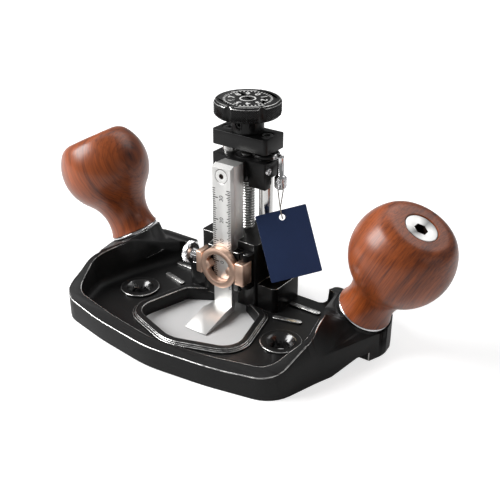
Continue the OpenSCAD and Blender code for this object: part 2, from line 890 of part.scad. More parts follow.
module blade_screw() {
    tail = blade_front - slide_d / 2 + 0.6;
    color(steel)
        translate([0, -blade_front + 0.1, blade_screw_z])
            rotate([90, 0, 0])
                difference() {
                    union() {
                        translate([0, 0, -tail])
                            cylinder(d = blade_screw_d, h = tail);
                        translate([0, 0, -1.2])
                            cylinder(d1 = blade_screw_d - 0.1, d2 = blade_screw_d + 2.1, h = 1.2);
                    }
                    translate([0, 0, -1.4])
                        hex_socket(2, 3);
                }
}

// Clamp: a ring that bears on the blade, hinged on the right and drawn up on the left
module blade_clamp() {
    lug_z = ring_z - lug_h / 2;
    lug_x = seat_w / 2 + clear_gap;
    color(bronze)
        difference() {
            union() {
                translate([0, -ring_back, ring_z])
                    rotate([90, 0, 0])
                        linear_extrude(ring_t)
                            difference() {
                                circle(d = ring_d);
                                circle(d = ring_bore);
                            }
                for (s = [-1, 1])
                    translate([0, -ring_back, ring_z])
                        rotate([90, 0, 0])
                            linear_extrude(ring_t)
                                polygon([for (p = ring_pointer()) [s * p.x, p.y]]);
                translate([-lug_x - lug_t, -ring_back - ring_t, lug_z])
                    cube([lug_t, ring_back + ring_t + hinge_y + 2.2, lug_h]);
                translate([lug_x, -ring_back - ring_t, lug_z])
                    cube([knuckle_d, ring_back + ring_t + hinge_y, lug_h]);
                translate([hinge_x, hinge_y, lug_z])
                    cylinder(d = knuckle_d, h = lug_h);
            }
            translate([hinge_x, hinge_y, lug_z - 1])
                cylinder(d = hinge_pin_d + 2 * run_gap, h = lug_h + 2);
            translate([-lug_x - lug_t - 1, hinge_y, ring_z])
                rotate([0, 90, 0])
                    cylinder(d = thumb_shank_d + 2 * run_gap, h = lug_t + 2);
        }
}

// One pointer of the ring, on its right side, with its tip towards the middle
function ring_pointer() =
    let (root = ring_bore / 2 + 0.6, tip = root - 2.8, w = 2.1)
    [[root, -w], [tip + 1.3, -w], [tip, 0], [tip + 1.3, w], [root, w]];

module clamp_hinge_pin() {
    low = ring_z - lug_h / 2 - clear_gap - ear_h;
    color(steel)
        translate([hinge_x, hinge_y, low])
            cylinder(d = hinge_pin_d, h = lug_h + 2 * clear_gap + 2 * ear_h);
}

module clamp_thumbscrew() {
    tip = seat_w / 2 + clear_gap;
    shank = lug_t + 0.2;
    color(chrome)
        translate([-tip, hinge_y, ring_z])
            rotate([0, -90, 0]) {
                cylinder(d = thumb_shank_d, h = shank + eps);
                translate([0, 0, shank])
                    cylinder(d = thumb_neck_d, h = thumb_neck_l + eps);
                translate([0, 0, shank + thumb_neck_l])
                    rotate_extrude()
                        polygon([
                            [0, 0], [thumb_d / 2 - 0.5, 0], [thumb_d / 2, 0.5], [thumb_d / 2, thumb_t - 0.5],
                            [thumb_d / 2 - 0.5, thumb_t], [0, thumb_t]
                        ]);
            }
}

// Lock knob: its screw bears on the right guide rod
module lock_knob() {
    tip = rod_x + rod_d / 2 + clear_gap;
    seat = lock_boss_x + clear_gap;
    r = lock_d / 2;
    color(brass)
        translate([tip, 0, lock_z])
            rotate([0, 90, 0]) {
                cylinder(d = lock_shank_d, h = seat - tip + eps);
                translate([0, 0, seat - tip])
                    difference() {
                        rotate_extrude()
                            polygon([
                                [0, 0], [r - 0.7, 0], [r, 0.7], [r, lock_t - 0.7], [r - 0.7, lock_t],
                                [r - 2, lock_t], [r - 2.6, lock_t - 0.6], [0, lock_t - 0.6]
                            ]);
                        for (k = [0:11])
                            rotate([0, 0, 30 * k])
                                translate([r + 0.6, 0, -1])
                                    cylinder(d = 2.4, h = lock_t + 2);
                    }
            }
}

// Handles
// Profile of a wooden knob: a hollow neck that runs tangent into the ball, then a rounded end
function arc(centre, r, from, to, n) =
    [for (k = [0:n]) let (a = from + (to - from) * k / n) centre + r * [cos(a), sin(a)]];
function grip_profile() =
    let (
        ball_r = grip_d / 2,
        neck_r = grip_neck_d / 2,
        ball_s = grip_l - grip_ball_s,
        rise = ball_s - grip_neck_s,
        hollow_r = (neck_r * neck_r + rise * rise - ball_r * ball_r) / (2 * (ball_r - neck_r)),
        hollow = [neck_r + hollow_r, grip_neck_s],
        join = atan2(-rise, neck_r + hollow_r),
        foot = 180 + asin(grip_neck_s / hollow_r),
        end_s = grip_ball_s - grip_end_r,
        end_x = sqrt(pow(ball_r - grip_end_r, 2) - end_s * end_s),
        lean = atan2(end_s, end_x)
    )
    concat(
        [[0, 0]],
        arc(hollow, hollow_r, foot, 180 + join, 9),
        arc([0, ball_s], ball_r, join + 6, lean - 6, 14),
        arc([end_x, grip_l - grip_end_r], grip_end_r, lean, 90, 5),
        [[0, grip_l]]
    );

module grip(side) {
    color(rosewood)
        on_handle(side)
            translate([0, 0, ferrule_t])
                difference() {
                    rotate_extrude()
                        polygon(grip_profile());
                    translate([0, 0, -1])
                        cylinder(d = bolt_d + 2 * clear_gap, h = grip_l + 2);
                    translate([0, 0, grip_l - cap_t])
                        cylinder(d = cap_d + 2 * run_gap, h = cap_t + 1);
                }
}
module handle_left() { grip(-1); }
module handle_right() { grip(1); }

module ferrule(side) {
    r = ferrule_d / 2;
    color(chrome)
        on_handle(side)
            difference() {
                rotate_extrude()
                    polygon([
                        [0, 0], [r - 0.5, 0], [r, 0.5], [r, ferrule_t - 0.7], [r - 0.7, ferrule_t],
                        [0, ferrule_t]
                    ]);
                translate([0, 0, -1])
                    cylinder(d = bolt_d + 2 * clear_gap, h = ferrule_t + 2);
            }
}
module ferrule_left() { ferrule(-1); }
module ferrule_right() { ferrule(1); }

module handle_bolt(side) {
    head_z = ferrule_t + grip_l - cap_t;
    color(chrome)
        on_handle(side)
            difference() {
                union() {
                    translate([0, 0, -bolt_bore_l + 0.5])
                        cylinder(d = bolt_d, h = head_z + bolt_bore_l);
                    translate([0, 0, head_z])
                        rotate_extrude()
                            polygon([
                                [0, 0], [cap_d / 2, 0], [cap_d / 2, cap_t], [cap_d / 2 - 0.6, cap_t + 0.4],
                                [0, cap_t + 0.4]
                            ]);
                }
                translate([0, 0, head_z - 1.4])
                    hex_socket(5, 6);
            }
}
module handle_bolt_left() { handle_bolt(-1); }
module handle_bolt_right() { handle_bolt(1); }

// Hang tag
// The clasp is an open hook round the right guide rod, with an arm and a barrel
module tag_clasp() {
    bend_r = rod_d / 2 + clear_gap + clasp_wire_d / 2;
    color(chrome) {
        translate([rod_x, 0, clasp_z]) {
            rotate([0, 0, -115])
                rotate_extrude(angle = 230)
                    translate([bend_r, 0])
                        circle(d = clasp_wire_d);
            translate([bend_r, 0, 0])
                rotate([0, 90, 0])
                    cylinder(d = clasp_wire_d, h = clasp_x - rod_x - bend_r);
        }
        translate([clasp_x, 0, clasp_z])
            sphere(d = clasp_arm_d);
        translate([clasp_x, 0, clasp_barrel_z[1] - eps])
            cylinder(d = clasp_arm_d, h = clasp_z - clasp_barrel_z[1]);
        translate([clasp_x, 0, clasp_barrel_z[0]])
            rotate_extrude()
                polygon([
                    [0, 0], [clasp_barrel_d / 2 - 1, 0], [clasp_barrel_d / 2, 1],
                    [clasp_barrel_d / 2, clasp_barrel_z[1] - clasp_barrel_z[0] - 1],
                    [clasp_barrel_d / 2 - 1, clasp_barrel_z[1] - clasp_barrel_z[0]],
                    [0, clasp_barrel_z[1] - clasp_barrel_z[0]]
                ]);
    }
}

// A thin tube swept along a route
module sweep(route, d, sides) {
    n = len(route);
    rings = [
        for (i = [0:n - 1])
            let (
                run = unit(route[min(i + 1, n - 1)] - route[max(i - 1, 0)]),
                dir = i == 0 || i == n - 1 ? [0, 0, i == 0 ? -1 : 1] : run,
                e = unit(cross([1, 0.3, 0.1], dir)),
                f = cross(dir, e)
            )
            [for (k = [0:sides - 1])
                route[i] + d / 2 * (cos(360 * k / sides) * e + sin(360 * k / sides) * f)]
    ];
    loft(rings);
}

module tag_string() {
    color([0.85, 0.82, 0.76])
        sweep(string_route, string_d, 8);
}

module hang_tag() {
    color(navy)
        translate(tag_centre)
            rotate([0, 0, tag_turn])
                rotate([90 - tag_lean, 0, 0])
                    rotate([0, 0, tag_skew])
                        translate([0, 0, -tag_t / 2])
                            linear_extrude(tag_t)
                                difference() {
                                    polygon(rounded_box(tag_w, -tag_h / 2, tag_h / 2, 0.6));
                                    translate([0, tag_h / 2 - tag_hole_drop])
                                        circle(d = tag_hole_d);
                                }
}

sole_plate();
post_housing();
post_screws();
guide_rod_left();
guide_rod_right();
top_plate();
plate_screws();
thrust_washer();
lead_screw();
retaining_clip();
adjuster_knob();
knob_grub_screw();
slide_block();
lead_nut();
nut_lock_screw();
blade_bar();
blade();
blade_screw();
blade_clamp();
clamp_hinge_pin();
clamp_thumbscrew();
lock_knob();
handle_left();
handle_right();
ferrule_left();
ferrule_right();
handle_bolt_left();
handle_bolt_right();
tag_clasp();
tag_string();
hang_tag();
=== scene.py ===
"""Looks of the hand router plane: finishes, knurls, thread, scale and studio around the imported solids."""
import json
import math

import bpy
from bpy.props import FloatProperty, FloatVectorProperty, IntProperty, PointerProperty
from mathutils import Matrix, Vector


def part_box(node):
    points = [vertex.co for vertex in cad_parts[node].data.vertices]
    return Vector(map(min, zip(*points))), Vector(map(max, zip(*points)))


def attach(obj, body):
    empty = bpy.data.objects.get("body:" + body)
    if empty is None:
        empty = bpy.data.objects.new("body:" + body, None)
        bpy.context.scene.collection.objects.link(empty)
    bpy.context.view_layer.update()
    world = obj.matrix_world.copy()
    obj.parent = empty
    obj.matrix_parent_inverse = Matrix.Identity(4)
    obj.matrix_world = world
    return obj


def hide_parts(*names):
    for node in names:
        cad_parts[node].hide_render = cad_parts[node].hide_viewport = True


bl_info = {
    "name": "Hand Router Plane",
    "version": (1, 0, 0),
    "blender": (4, 5, 0),
    "location": "View3D > Sidebar > Router Plane",
    "description": "Dresses the solids of a hand router plane and sets them in a small studio",
    "category": "Object",
}

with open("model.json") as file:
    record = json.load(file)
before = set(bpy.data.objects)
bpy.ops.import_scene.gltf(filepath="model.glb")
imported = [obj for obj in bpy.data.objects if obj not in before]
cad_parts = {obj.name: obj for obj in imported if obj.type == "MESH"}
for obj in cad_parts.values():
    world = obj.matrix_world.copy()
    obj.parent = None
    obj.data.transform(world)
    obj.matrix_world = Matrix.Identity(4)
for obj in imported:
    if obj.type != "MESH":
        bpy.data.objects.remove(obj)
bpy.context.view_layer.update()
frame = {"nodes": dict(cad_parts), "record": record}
NODES = frame["nodes"]
BODY_OF = {n: body for body, members in frame["record"]["behaviour"]["bodies"].items() for n in members}
SIDES = ((-1, "left"), (1, "right"))
JOINTS = {j["name"]: j for j in frame["record"]["behaviour"]["joints"]}
MM = 0.001
CAMERA_AT = Vector((0.1973, -0.2724, 0.1965))
CAMERA_RIGHT = Vector((0.8114, 0.5845, 0.0))
CAMERA_UP = Vector((-0.2679, 0.3719, 0.8888))
CAMERA_BACK = Vector((0.5195, -0.7211, 0.4584))


# Sizes and colours that a user would change

def measure(name, description, value, unit="LENGTH"):
    return FloatProperty(name=name, description=description, default=value, unit=unit)


def count(name, description, value, low, high):
    return IntProperty(name=name, description=description, default=value, min=low, max=high)


class RouterSizes(bpy.types.PropertyGroup):
    """Sizes of the small details"""
    thread_pitch: measure("Thread pitch", "Rise of the lead screw in one turn", 1.25 * MM)
    thread_depth: measure("Thread depth", "Depth of the lead screw's thread", 0.42 * MM)
    spindle_width: measure("Spindle width", "Outer width of the lead screw's thread",
                           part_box("lead_screw")[1].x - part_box("lead_screw")[0].x)
    edge_round: measure("Edge rounding", "Rounding of the castings' edges", 0.3 * MM)
    grip_length: measure("Grip length", "Length of a wooden knob", 48.4 * MM)
    grip_width: measure("Grip width", "Widest place of a wooden knob", 41.6 * MM)
    neck_width: measure("Neck width", "Narrowest place of a wooden knob", 20.4 * MM)
    handle_tilt: measure("Handle tilt", "Outward tilt of the handles", math.radians(27.0), "ROTATION")
    handle_lean: measure("Handle lean", "Forward lean of the handles", math.radians(2.6), "ROTATION")
    knurl_columns: count("Knurl columns", "Diamonds across one sector of the knob", 12, 4, 16)
    knurl_rows: count("Knurl rows", "Rows of diamonds on the knob's rim", 5, 3, 8)
    dial_ticks: count("Dial ticks", "Marks round the top of the knob", 40, 8, 80)
    key_light: measure("Key light", "Power of the large light on the left", 12.0, "POWER")
    fill_light: measure("Fill light", "Power of the light on the right", 0.4, "POWER")


def colour(name, description, value):
    return FloatVectorProperty(name=name, description=description, default=value,
                               subtype="COLOR", size=3, min=0, max=1)


class RouterColours(bpy.types.PropertyGroup):
    """Colours of the finishes"""
    black: colour("Black", "Satin black of the castings", (0.0074, 0.0073, 0.0074))
    steel: colour("Steel", "Ground and turned steel", (0.78, 0.775, 0.76))
    chrome: colour("Chrome", "Bright plating", (0.80, 0.80, 0.81))
    bronze: colour("Bronze", "Rose coloured clamp", (0.90, 0.62, 0.48))
    brass: colour("Brass", "Lock knob", (0.78, 0.56, 0.22))
    wood_light: colour("Wood, light", "Light streaks of the rosewood", (0.44, 0.098, 0.020))
    wood_dark: colour("Wood, dark", "Dark streaks of the rosewood", (0.085, 0.015, 0.005))
    card: colour("Card", "Face of the hang tag", (0.015, 0.037, 0.118))
    thread: colour("String", "String of the hang tag", (0.62, 0.57, 0.48))
    paint: colour("Marks", "White marks on the knob", (0.95, 0.95, 0.93))
    ink: colour("Scale", "Dark lines of the blade's scale", (0.018, 0.018, 0.018))


def mm(*values):
    return tuple(value * MM for value in values)


def box_centre(node):
    low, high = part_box(node)
    return (low + high) / 2


def sizes():
    return bpy.context.scene.router_sizes


def colours():
    return bpy.context.scene.router_colours


# Materials: arithmetic on a Shade adds Math nodes

class Shade:
    """A socket in a material's tree"""

    def __init__(self, finish, socket):
        self.finish, self.socket = finish, socket

    def _math(self, operation, a, b):
        return self.finish.node("ShaderNodeMath", {"operation": operation}, {0: a, 1: b})

    def __add__(self, other):
        return self._math("ADD", self, other)

    __radd__ = __add__

    def __sub__(self, other):
        return self._math("SUBTRACT", self, other)

    def __rsub__(self, other):
        return self._math("SUBTRACT", other, self)

    def __mul__(self, other):
        return self._math("MULTIPLY", self, other)

    __rmul__ = __mul__

    def __truediv__(self, other):
        return self._math("DIVIDE", self, other)

    def __rtruediv__(self, other):
        return self._math("DIVIDE", other, self)


class Finish:
    """The nodes of a new material on Object coordinates, or of a given world"""

    def __init__(self, name, world=None):
        self.owner = world or bpy.data.materials.new(name)
        self.owner.use_nodes = True
        self.tree = self.owner.node_tree
        self.tree.nodes.clear()

    def node(self, kind, settings=None, inputs=None, output=0):
        made = self.tree.nodes.new(kind)
        for key, value in (settings or {}).items():
            if key == "stops":
                ramp = made.color_ramp.elements
                while len(ramp) < len(value):
                    ramp.new(0.5)
                for stop, (place, shade) in zip(ramp, value):
                    stop.position, stop.color = place, (*shade, 1.0)
            else:
                setattr(made, key, value)
        for key, value in (inputs or {}).items():
            if isinstance(value, Shade):
                self.tree.links.new(value.socket, made.inputs[key])
            else:
                made.inputs[key].default_value = value
        return Shade(self, made.outputs[output]) if len(made.outputs) else None

    def place(self, scale=(1, 1, 1), turn=(0, 0, 0), shift=(0, 0, 0)):
        where = self.node("ShaderNodeTexCoord", output="Object")
        return self.node("ShaderNodeMapping", {}, {
            "Vector": where, "Scale": scale, "Rotation": turn, "Location": shift})

    def ray(self, kind):
        return self.node("ShaderNodeLightPath", output="Is %s Ray" % kind)

    def noise(self, scale, detail, rough=0.5, distort=0.0, where=None):
        return self.node("ShaderNodeTexNoise", {}, {
            "Vector": where or self.place(), "Scale": scale, "Detail": detail, "Roughness": rough,
            "Distortion": distort})

    def blend(self, factor, first, second, mode="MIX"):
        first, second = (c if isinstance(c, Shade) else (*c, 1.0) for c in (first, second))
        return self.node("ShaderNodeMix", {"data_type": "RGBA", "blend_type": mode},
                         {0: factor, 6: first, 7: second}, 2)

    def ramp(self, factor, stops):
        return self.node("ShaderNodeValToRGB", {"stops": stops}, {"Fac": factor})

    def bump(self, height, strength, distance):
        return self.node("ShaderNodeBump", {}, {
            "Height": height, "Strength": strength, "Distance": distance})

    def surface(self, **inputs):
        named = {key.replace("_", " "): value for key, value in inputs.items()}
        skin = self.node("ShaderNodeBsdfPrincipled", {}, named)
        self.node("ShaderNodeOutputMaterial", {}, {"Surface": skin})
        return self.owner


def tint(value, share):
    """A darker or lighter colour"""
    return tuple(c * share for c in value)


def cast_black():
    """Coated casting: a fine pebble grain that sparkles, and slightly uneven gloss"""
    f = Finish("cast_black")
    grain = f.noise(2600.0, 2.0)
    cloud = f.noise(60.0, 2.0)
    speck = f.ramp(f.noise(3400.0, 1.0), [(0.62, (0, 0, 0)), (0.76, (1, 1, 1))])
    black = colours().black
    base = f.blend(cloud * 0.6 + grain * 0.4, tint(black, 0.7), tint(black, 1.5))
    base = f.blend(speck * 0.5, base, tint(black, 5.0))
    return f.surface(Base_Color=base, Roughness=0.33 + grain * 0.12 + cloud * 0.06, Specular_IOR_Level=0.25,
                     Normal=f.bump(grain, 0.16, 0.00010))


def burnished_edge():
    """Bare metal on edges of the black parts, with the coating left in patches: partly wear, partly painted
    highlight
    """
    f = Finish("burnished_edge")
    rub = f.noise(420.0, 3.0)
    bare = f.ramp(rub, [(0.30, (0, 0, 0)), (0.55, (1, 1, 1))])
    base = f.blend(bare, (0.30, 0.30, 0.30), colours().steel)
    return f.surface(Base_Color=base, Metallic=0.9, Roughness=0.20 + rub * 0.10)


def gloss_black():
    """Countersinks and black screws: smooth and shiny"""
    f = Finish("gloss_black")
    turning = f.noise(260.0, 2.0, where=f.place((1, 1, 12)))
    black = colours().black
    base = f.blend(turning, tint(black, 0.6), black)
    return f.surface(Base_Color=base, Roughness=0.17 + turning * 0.06, Specular_IOR_Level=1.0)


def machined_black():
    """Anodised milled parts: smooth, with a faint tool pattern"""
    f = Finish("machined_black")
    lines = f.noise(90.0, 3.0, where=f.place((1, 1, 60)))
    cloud = f.noise(240.0, 3.0)
    black = colours().black
    base = f.blend(lines * 0.6 + cloud * 0.4, tint(black, 0.8), tint(black, 1.35))
    return f.surface(Base_Color=base, Roughness=0.25 + lines * 0.08 + cloud * 0.06, Specular_IOR_Level=0.23,
                     Normal=f.bump(lines, 0.05, 0.00005))


def ground_steel():
    """Blade and bar: satin, ground along their length"""
    f = Finish("ground_steel")
    lines = f.noise(4200.0, 2.0, where=f.place((1, 1, 0.02)))
    cloud = f.noise(90.0, 2.0)
    base = f.blend(cloud, tint(colours().steel, 0.92), tint(colours().steel, 1.05))
    return f.surface(Base_Color=base, Metallic=1.0, Roughness=0.40 + lines * 0.14,
                     Normal=f.bump(lines, 0.05, 0.00003))


def turned_steel():
    """Rods, screws and pins: turned rings under a polish"""
    f = Finish("turned_steel")
    rings = f.noise(3000.0, 2.0, where=f.place((0.03, 0.03, 1)))
    base = f.blend(rings, tint(colours().steel, 0.85), colours().steel)
    return f.surface(Base_Color=base, Metallic=1.0, Roughness=0.14 + rings * 0.10,
                     Normal=f.bump(rings, 0.04, 0.00002))


def turned_cap(side, word):
    """Bolt heads: two bright and two dark sectors across the handle's axis, a painted reflection of turned
    metal
    """
    f = Finish("turned_cap_" + word)
    bolt_axis_frame = f.node("ShaderNodeMapping", {"vector_type": "TEXTURE"}, {
        "Vector": f.place(), "Location": box_centre("ferrule_" + word),
        "Rotation": (sizes().handle_lean, side * sizes().handle_tilt, 0)})
    painted_reflection_fan = f.node("ShaderNodeTexGradient", {"gradient_type": "RADIAL"}, {"Vector": bolt_axis_frame}, "Fac")
    steel = colours().steel
    shade = tint(steel, 0.30)
    # Painted reflection: bright and dark sectors round the bolt's axis, in the base colour
    base = f.ramp(painted_reflection_fan, [(0.10, steel), (0.22, shade), (0.36, steel),
                        (0.62, steel), (0.75, shade), (0.87, steel)])
    haze = f.noise(900.0, 2.0)
    return f.surface(Base_Color=base, Metallic=1.0, Roughness=0.24 + haze * 0.12)


def threaded_steel():
    """Lead screw: bright crests, and the valleys of the thread darkened partly by old lubricant and partly
    by painted shade
    """
    f = Finish("threaded_steel")
    valley = sizes().spindle_width / 2 - sizes().thread_depth
    reach = f.node("ShaderNodeVectorMath", {"operation": "LENGTH"}, {0: f.place((1, 1, 0))}, "Value")
    crest = f.ramp((reach - valley) / sizes().thread_depth, [(0.10, (0, 0, 0)), (0.75, (1, 1, 1))])
    # The valleys' dark is partly old lubricant and partly painted shade in the recess
    base = f.blend(crest, (0.05, 0.046, 0.04), colours().steel)
    return f.surface(Base_Color=base, Metallic=0.9, Roughness=0.42 - crest * 0.2)


def bright_chrome():
    f = Finish("bright_chrome")
    haze = f.noise(220.0, 3.0)
    base = f.blend(haze, tint(colours().chrome, 0.94), colours().chrome)
    return f.surface(Base_Color=base, Metallic=1.0, Roughness=0.16 + haze * 0.08)


def rose_bronze():
    f = Finish("rose_bronze")
    grain = f.noise(5200.0, 2.0)
    cloud = f.noise(90.0, 2.0)
    base = f.blend(cloud, tint(colours().bronze, 0.93), colours().bronze)
    return f.surface(Base_Color=base, Metallic=1.0, Roughness=0.34 + grain * 0.08)


def satin_brass():
    f = Finish("satin_brass")
    grain = f.noise(5200.0, 2.0)
    cloud = f.noise(120.0, 2.0)
    base = f.blend(cloud, tint(colours().brass, 0.90), colours().brass)
    return f.surface(Base_Color=base, Metallic=1.0, Roughness=0.28 + grain * 0.06)


def rosewood(side, word):
    """Wavy figure and growth lines, with fine dark pores along the handle's own axis"""
    f = Finish("rosewood_" + word)
    cut_from = (0.15 if side > 0 else 0.31, 0.2, 0)
    plank = f.place((1, 1, 1), (0, -side * sizes().handle_tilt, 0), cut_from)

    def along(deep, squeeze):
        return f.node("ShaderNodeMapping", {}, {"Vector": plank, "Scale": (1, deep, squeeze)})
    figure = f.noise(55.0, 2.0, 0.5, 0.6, where=along(0.5, 0.20))
    growth = f.noise(420.0, 3.0, 0.55, 0.25, where=along(0.16, 0.05))
    fibre = f.noise(1700.0, 3.0, 0.6, where=along(0.22, 0.04))
    pores = f.noise(2400.0, 2.0, 0.5, where=along(0.22, 0.03))
    dark, light = colours().wood_dark, colours().wood_light
    tone = f.ramp(figure * 0.30 + growth * 0.45 + fibre * 0.25, [
        (0.37, dark),
        (0.44, tuple(0.55 * d + 0.45 * l for d, l in zip(dark, light))),
        (0.51, tint(light, 0.80)),
        (0.66, tint(light, 1.12)),
    ])
    pore = f.ramp(pores, [(0.36, (0.30, 0.22, 0.20)), (0.46, (1.0, 1.0, 1.0))])
    rings = f.node("ShaderNodeTexWave", {"wave_type": "BANDS", "bands_direction": "X"}, {
        "Vector": along(0.45, 0.16), "Scale": 250.0, "Distortion": 16.0,
        "Detail": 3.0, "Detail Scale": 0.6}, "Fac")
    line = f.ramp(rings, [(0.02, (0.42, 0.32, 0.28)), (0.34, (1.0, 1.0, 1.0))])
    base = f.blend(0.45, tone, pore, "MULTIPLY")
    base = f.blend(figure * 0.75 - 0.10, base, line, "MULTIPLY")
    return f.surface(Base_Color=base, Roughness=0.42 + fibre * 0.16, Specular_IOR_Level=0.18,
                     Coat_Weight=0.85, Coat_Roughness=0.29,
                     Normal=f.bump(pores + fibre * 0.5, 0.10, 0.00006))


def tag_card():
    f = Finish("tag_card")
    fibre = f.noise(1800.0, 4.0)
    cloud = f.noise(150.0, 2.0)
    base = f.blend(cloud * 0.5 + fibre * 0.5, tint(colours().card, 0.8), tint(colours().card, 1.25))
    return f.surface(Base_Color=base, Roughness=0.46 + fibre * 0.14, Normal=f.bump(fibre, 0.08, 0.00005))


def twisted_string():
    f = Finish("twisted_string")
    twist = f.noise(1400.0, 2.0, where=f.place((1, 1, 2.2)))
    base = f.blend(twist, tint(colours().thread, 0.6), colours().thread)
    return f.surface(Base_Color=base, Roughness=0.85, Normal=f.bump(twist, 0.4, 0.0001))


def dark_socket():
    """Hexagon sockets and the gap round a screw head: painted shade, dark brown and mottled"""
    f = Finish("dark_socket")
    socket_mottle = f.noise(700.0, 3.0)
    # Painted shade: near-black browns where the recess would be in shadow
    base = f.blend(socket_mottle, (0.012, 0.007, 0.005), (0.045, 0.024, 0.017))
    return f.surface(Base_Color=base, Metallic=0.4, Roughness=0.32 + socket_mottle * 0.15)


def mark_paint(name, value, rough):
    f = Finish(name)
    wear = f.noise(1300.0, 3.0)
    base = f.blend(wear, tint(value, 0.8), value)
    return f.surface(Base_Color=base, Roughness=rough + wear * 0.1)


MATERIALS = {}


def make_materials():
    made = [
        cast_black(), burnished_edge(), gloss_black(), machined_black(), ground_steel(), turned_steel(),
        threaded_steel(), bright_chrome(), rose_bronze(), satin_brass(), tag_card(), twisted_string(),
        dark_socket(),
        mark_paint("mark_white", colours().paint, 0.45), mark_paint("mark_ink", colours().ink, 0.55)]
    for side, word in SIDES:
        made += [turned_cap(side, word), rosewood(side, word)]
    MATERIALS.update((material.name, material) for material in made)


WEARERS = {
    "cast_black": "sole_plate",
    "machined_black": "post_housing top_plate adjuster_knob slide_block knob_grub_screw thrust_washer "
                      "retaining_clip lead_nut",
    "gloss_black": "plate_screws",
    "ground_steel": "blade blade_bar",
    "turned_steel": "post_screws guide_rod_left guide_rod_right blade_screw clamp_hinge_pin",
    "threaded_steel": "lead_screw",
    "bright_chrome": "nut_lock_screw clamp_thumbscrew ferrule_left ferrule_right tag_clasp",
    "turned_cap_left": "handle_bolt_left",
    "turned_cap_right": "handle_bolt_right",
    "rose_bronze": "blade_clamp",
    "satin_brass": "lock_knob",
    "rosewood_left": "handle_left",
    "rosewood_right": "handle_right",
    "tag_card": "hang_tag",
    "twisted_string": "tag_string",
}
FINISH_OF = {node: finish for finish, nodes in WEARERS.items() for node in nodes.split()}


# Modelling helpers

def pick(obj):
    """Only this object is selected and active"""
    bpy.ops.object.select_all(action="DESELECT")
    obj.select_set(True)
    bpy.context.view_layer.objects.active = obj


def to_mode(name):
    bpy.ops.object.mode_set(mode=name)


def edit_all():
    """Opens the active mesh for editing with all of it selected"""
    to_mode("EDIT")
    bpy.ops.mesh.select_all(action="SELECT")


def linked(name, data):
    """A new object in the scene"""
    obj = bpy.data.objects.new(name, data)
    bpy.context.scene.collection.objects.link(obj)
    return obj


def added(operator, **settings):
    """Runs an operator that adds one object, and returns that object"""
    bpy.ops.object.select_all(action="DESELECT")
    operator(**settings)
    return bpy.context.object


def choose(obj, kind, test):
    """Opens the active mesh for editing with only the vertices, edges or faces that pass a test selected"""
    to_mode("EDIT")
    bpy.ops.mesh.select_mode(type=kind)
    bpy.ops.mesh.select_all(action="DESELECT")
    to_mode("OBJECT")
    parts = {"VERT": obj.data.vertices, "EDGE": obj.data.edges, "FACE": obj.data.polygons}
    for part in parts[kind]:
        part.select = test(part)
    to_mode("EDIT")


def wear_finish(obj, finish):
    obj.data.materials.clear()
    obj.data.materials.append(MATERIALS[finish])


def still(obj):
    """Moves the place, turn and scale of an object into its mesh"""
    pick(obj)
    bpy.ops.object.transform_apply(location=True, rotation=True, scale=True)
    return obj


def apply_all(obj):
    pick(obj)
    for m in list(obj.modifiers):
        bpy.ops.object.modifier_apply(modifier=m.name)


def settle(obj, name, node, finish=None, smooth=35.0, replace=True):
    """Names a finished piece and lets it ride with the node's body"""
    still(obj)
    bpy.ops.object.shade_smooth_by_angle(angle=math.radians(smooth))
    obj.name = obj.data.name = name
    if len(obj.data.materials) < 2:
        wear_finish(obj, finish or FINISH_OF[node])
    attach(obj, BODY_OF[node])
    if replace:
        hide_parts(node)
    return obj


def fresh_copy(node, name):
    """A merged copy of a solid's mesh, ready to be reshaped"""
    obj = linked(name, NODES[node].data.copy())
    pick(obj)
    edit_all()
    bpy.ops.mesh.remove_doubles(threshold=2e-6)
    bpy.ops.mesh.dissolve_limited(angle_limit=math.radians(0.4))
    to_mode("OBJECT")
    return obj


def rounded_copy(node, name, width, segments=2, angle=32.0, smooth=35.0, wear_and_highlight_edges=None):
    """A copy of a solid with its edges rounded, or only the ridges that pass a test, which then take the
    bright edge finish: wear and painted highlight
    """
    obj = fresh_copy(node, name)
    edge = obj.modifiers.new("edges", "BEVEL")
    edge.width, edge.segments = width, segments
    edge.limit_method, edge.angle_limit = "ANGLE", math.radians(angle)
    if wear_and_highlight_edges:
        to_mode("EDIT")
        bpy.ops.mesh.select_mode(type="EDGE")
        bpy.ops.mesh.select_all(action="DESELECT")
        bpy.ops.mesh.edges_select_sharp(sharpness=math.radians(angle))
        to_mode("OBJECT")
        spot = [v.co for v in obj.data.vertices]
        sides = {}
        for face in obj.data.polygons:
            for key in face.edge_keys:
                sides.setdefault(key, []).append(face)
        for e in obj.data.edges:
            if e.select:
                one, two = sides[e.key][:2]
                ridge = (two.center - one.center).dot(one.normal) < 0
                e.select = ridge and wear_and_highlight_edges(spot[e.vertices[0]], spot[e.vertices[1]])
        to_mode("EDIT")
        bpy.ops.transform.edge_bevelweight(value=1.0)
        to_mode("OBJECT")
        wear_finish(obj, FINISH_OF[node])
        obj.data.materials.append(MATERIALS["burnished_edge"])
        edge.limit_method, edge.use_clamp_overlap, edge.material = "WEIGHT", False, 1
    if width > 0:
        apply_all(obj)
    else:
        obj.modifiers.clear()
    return settle(obj, name, node, smooth=smooth)


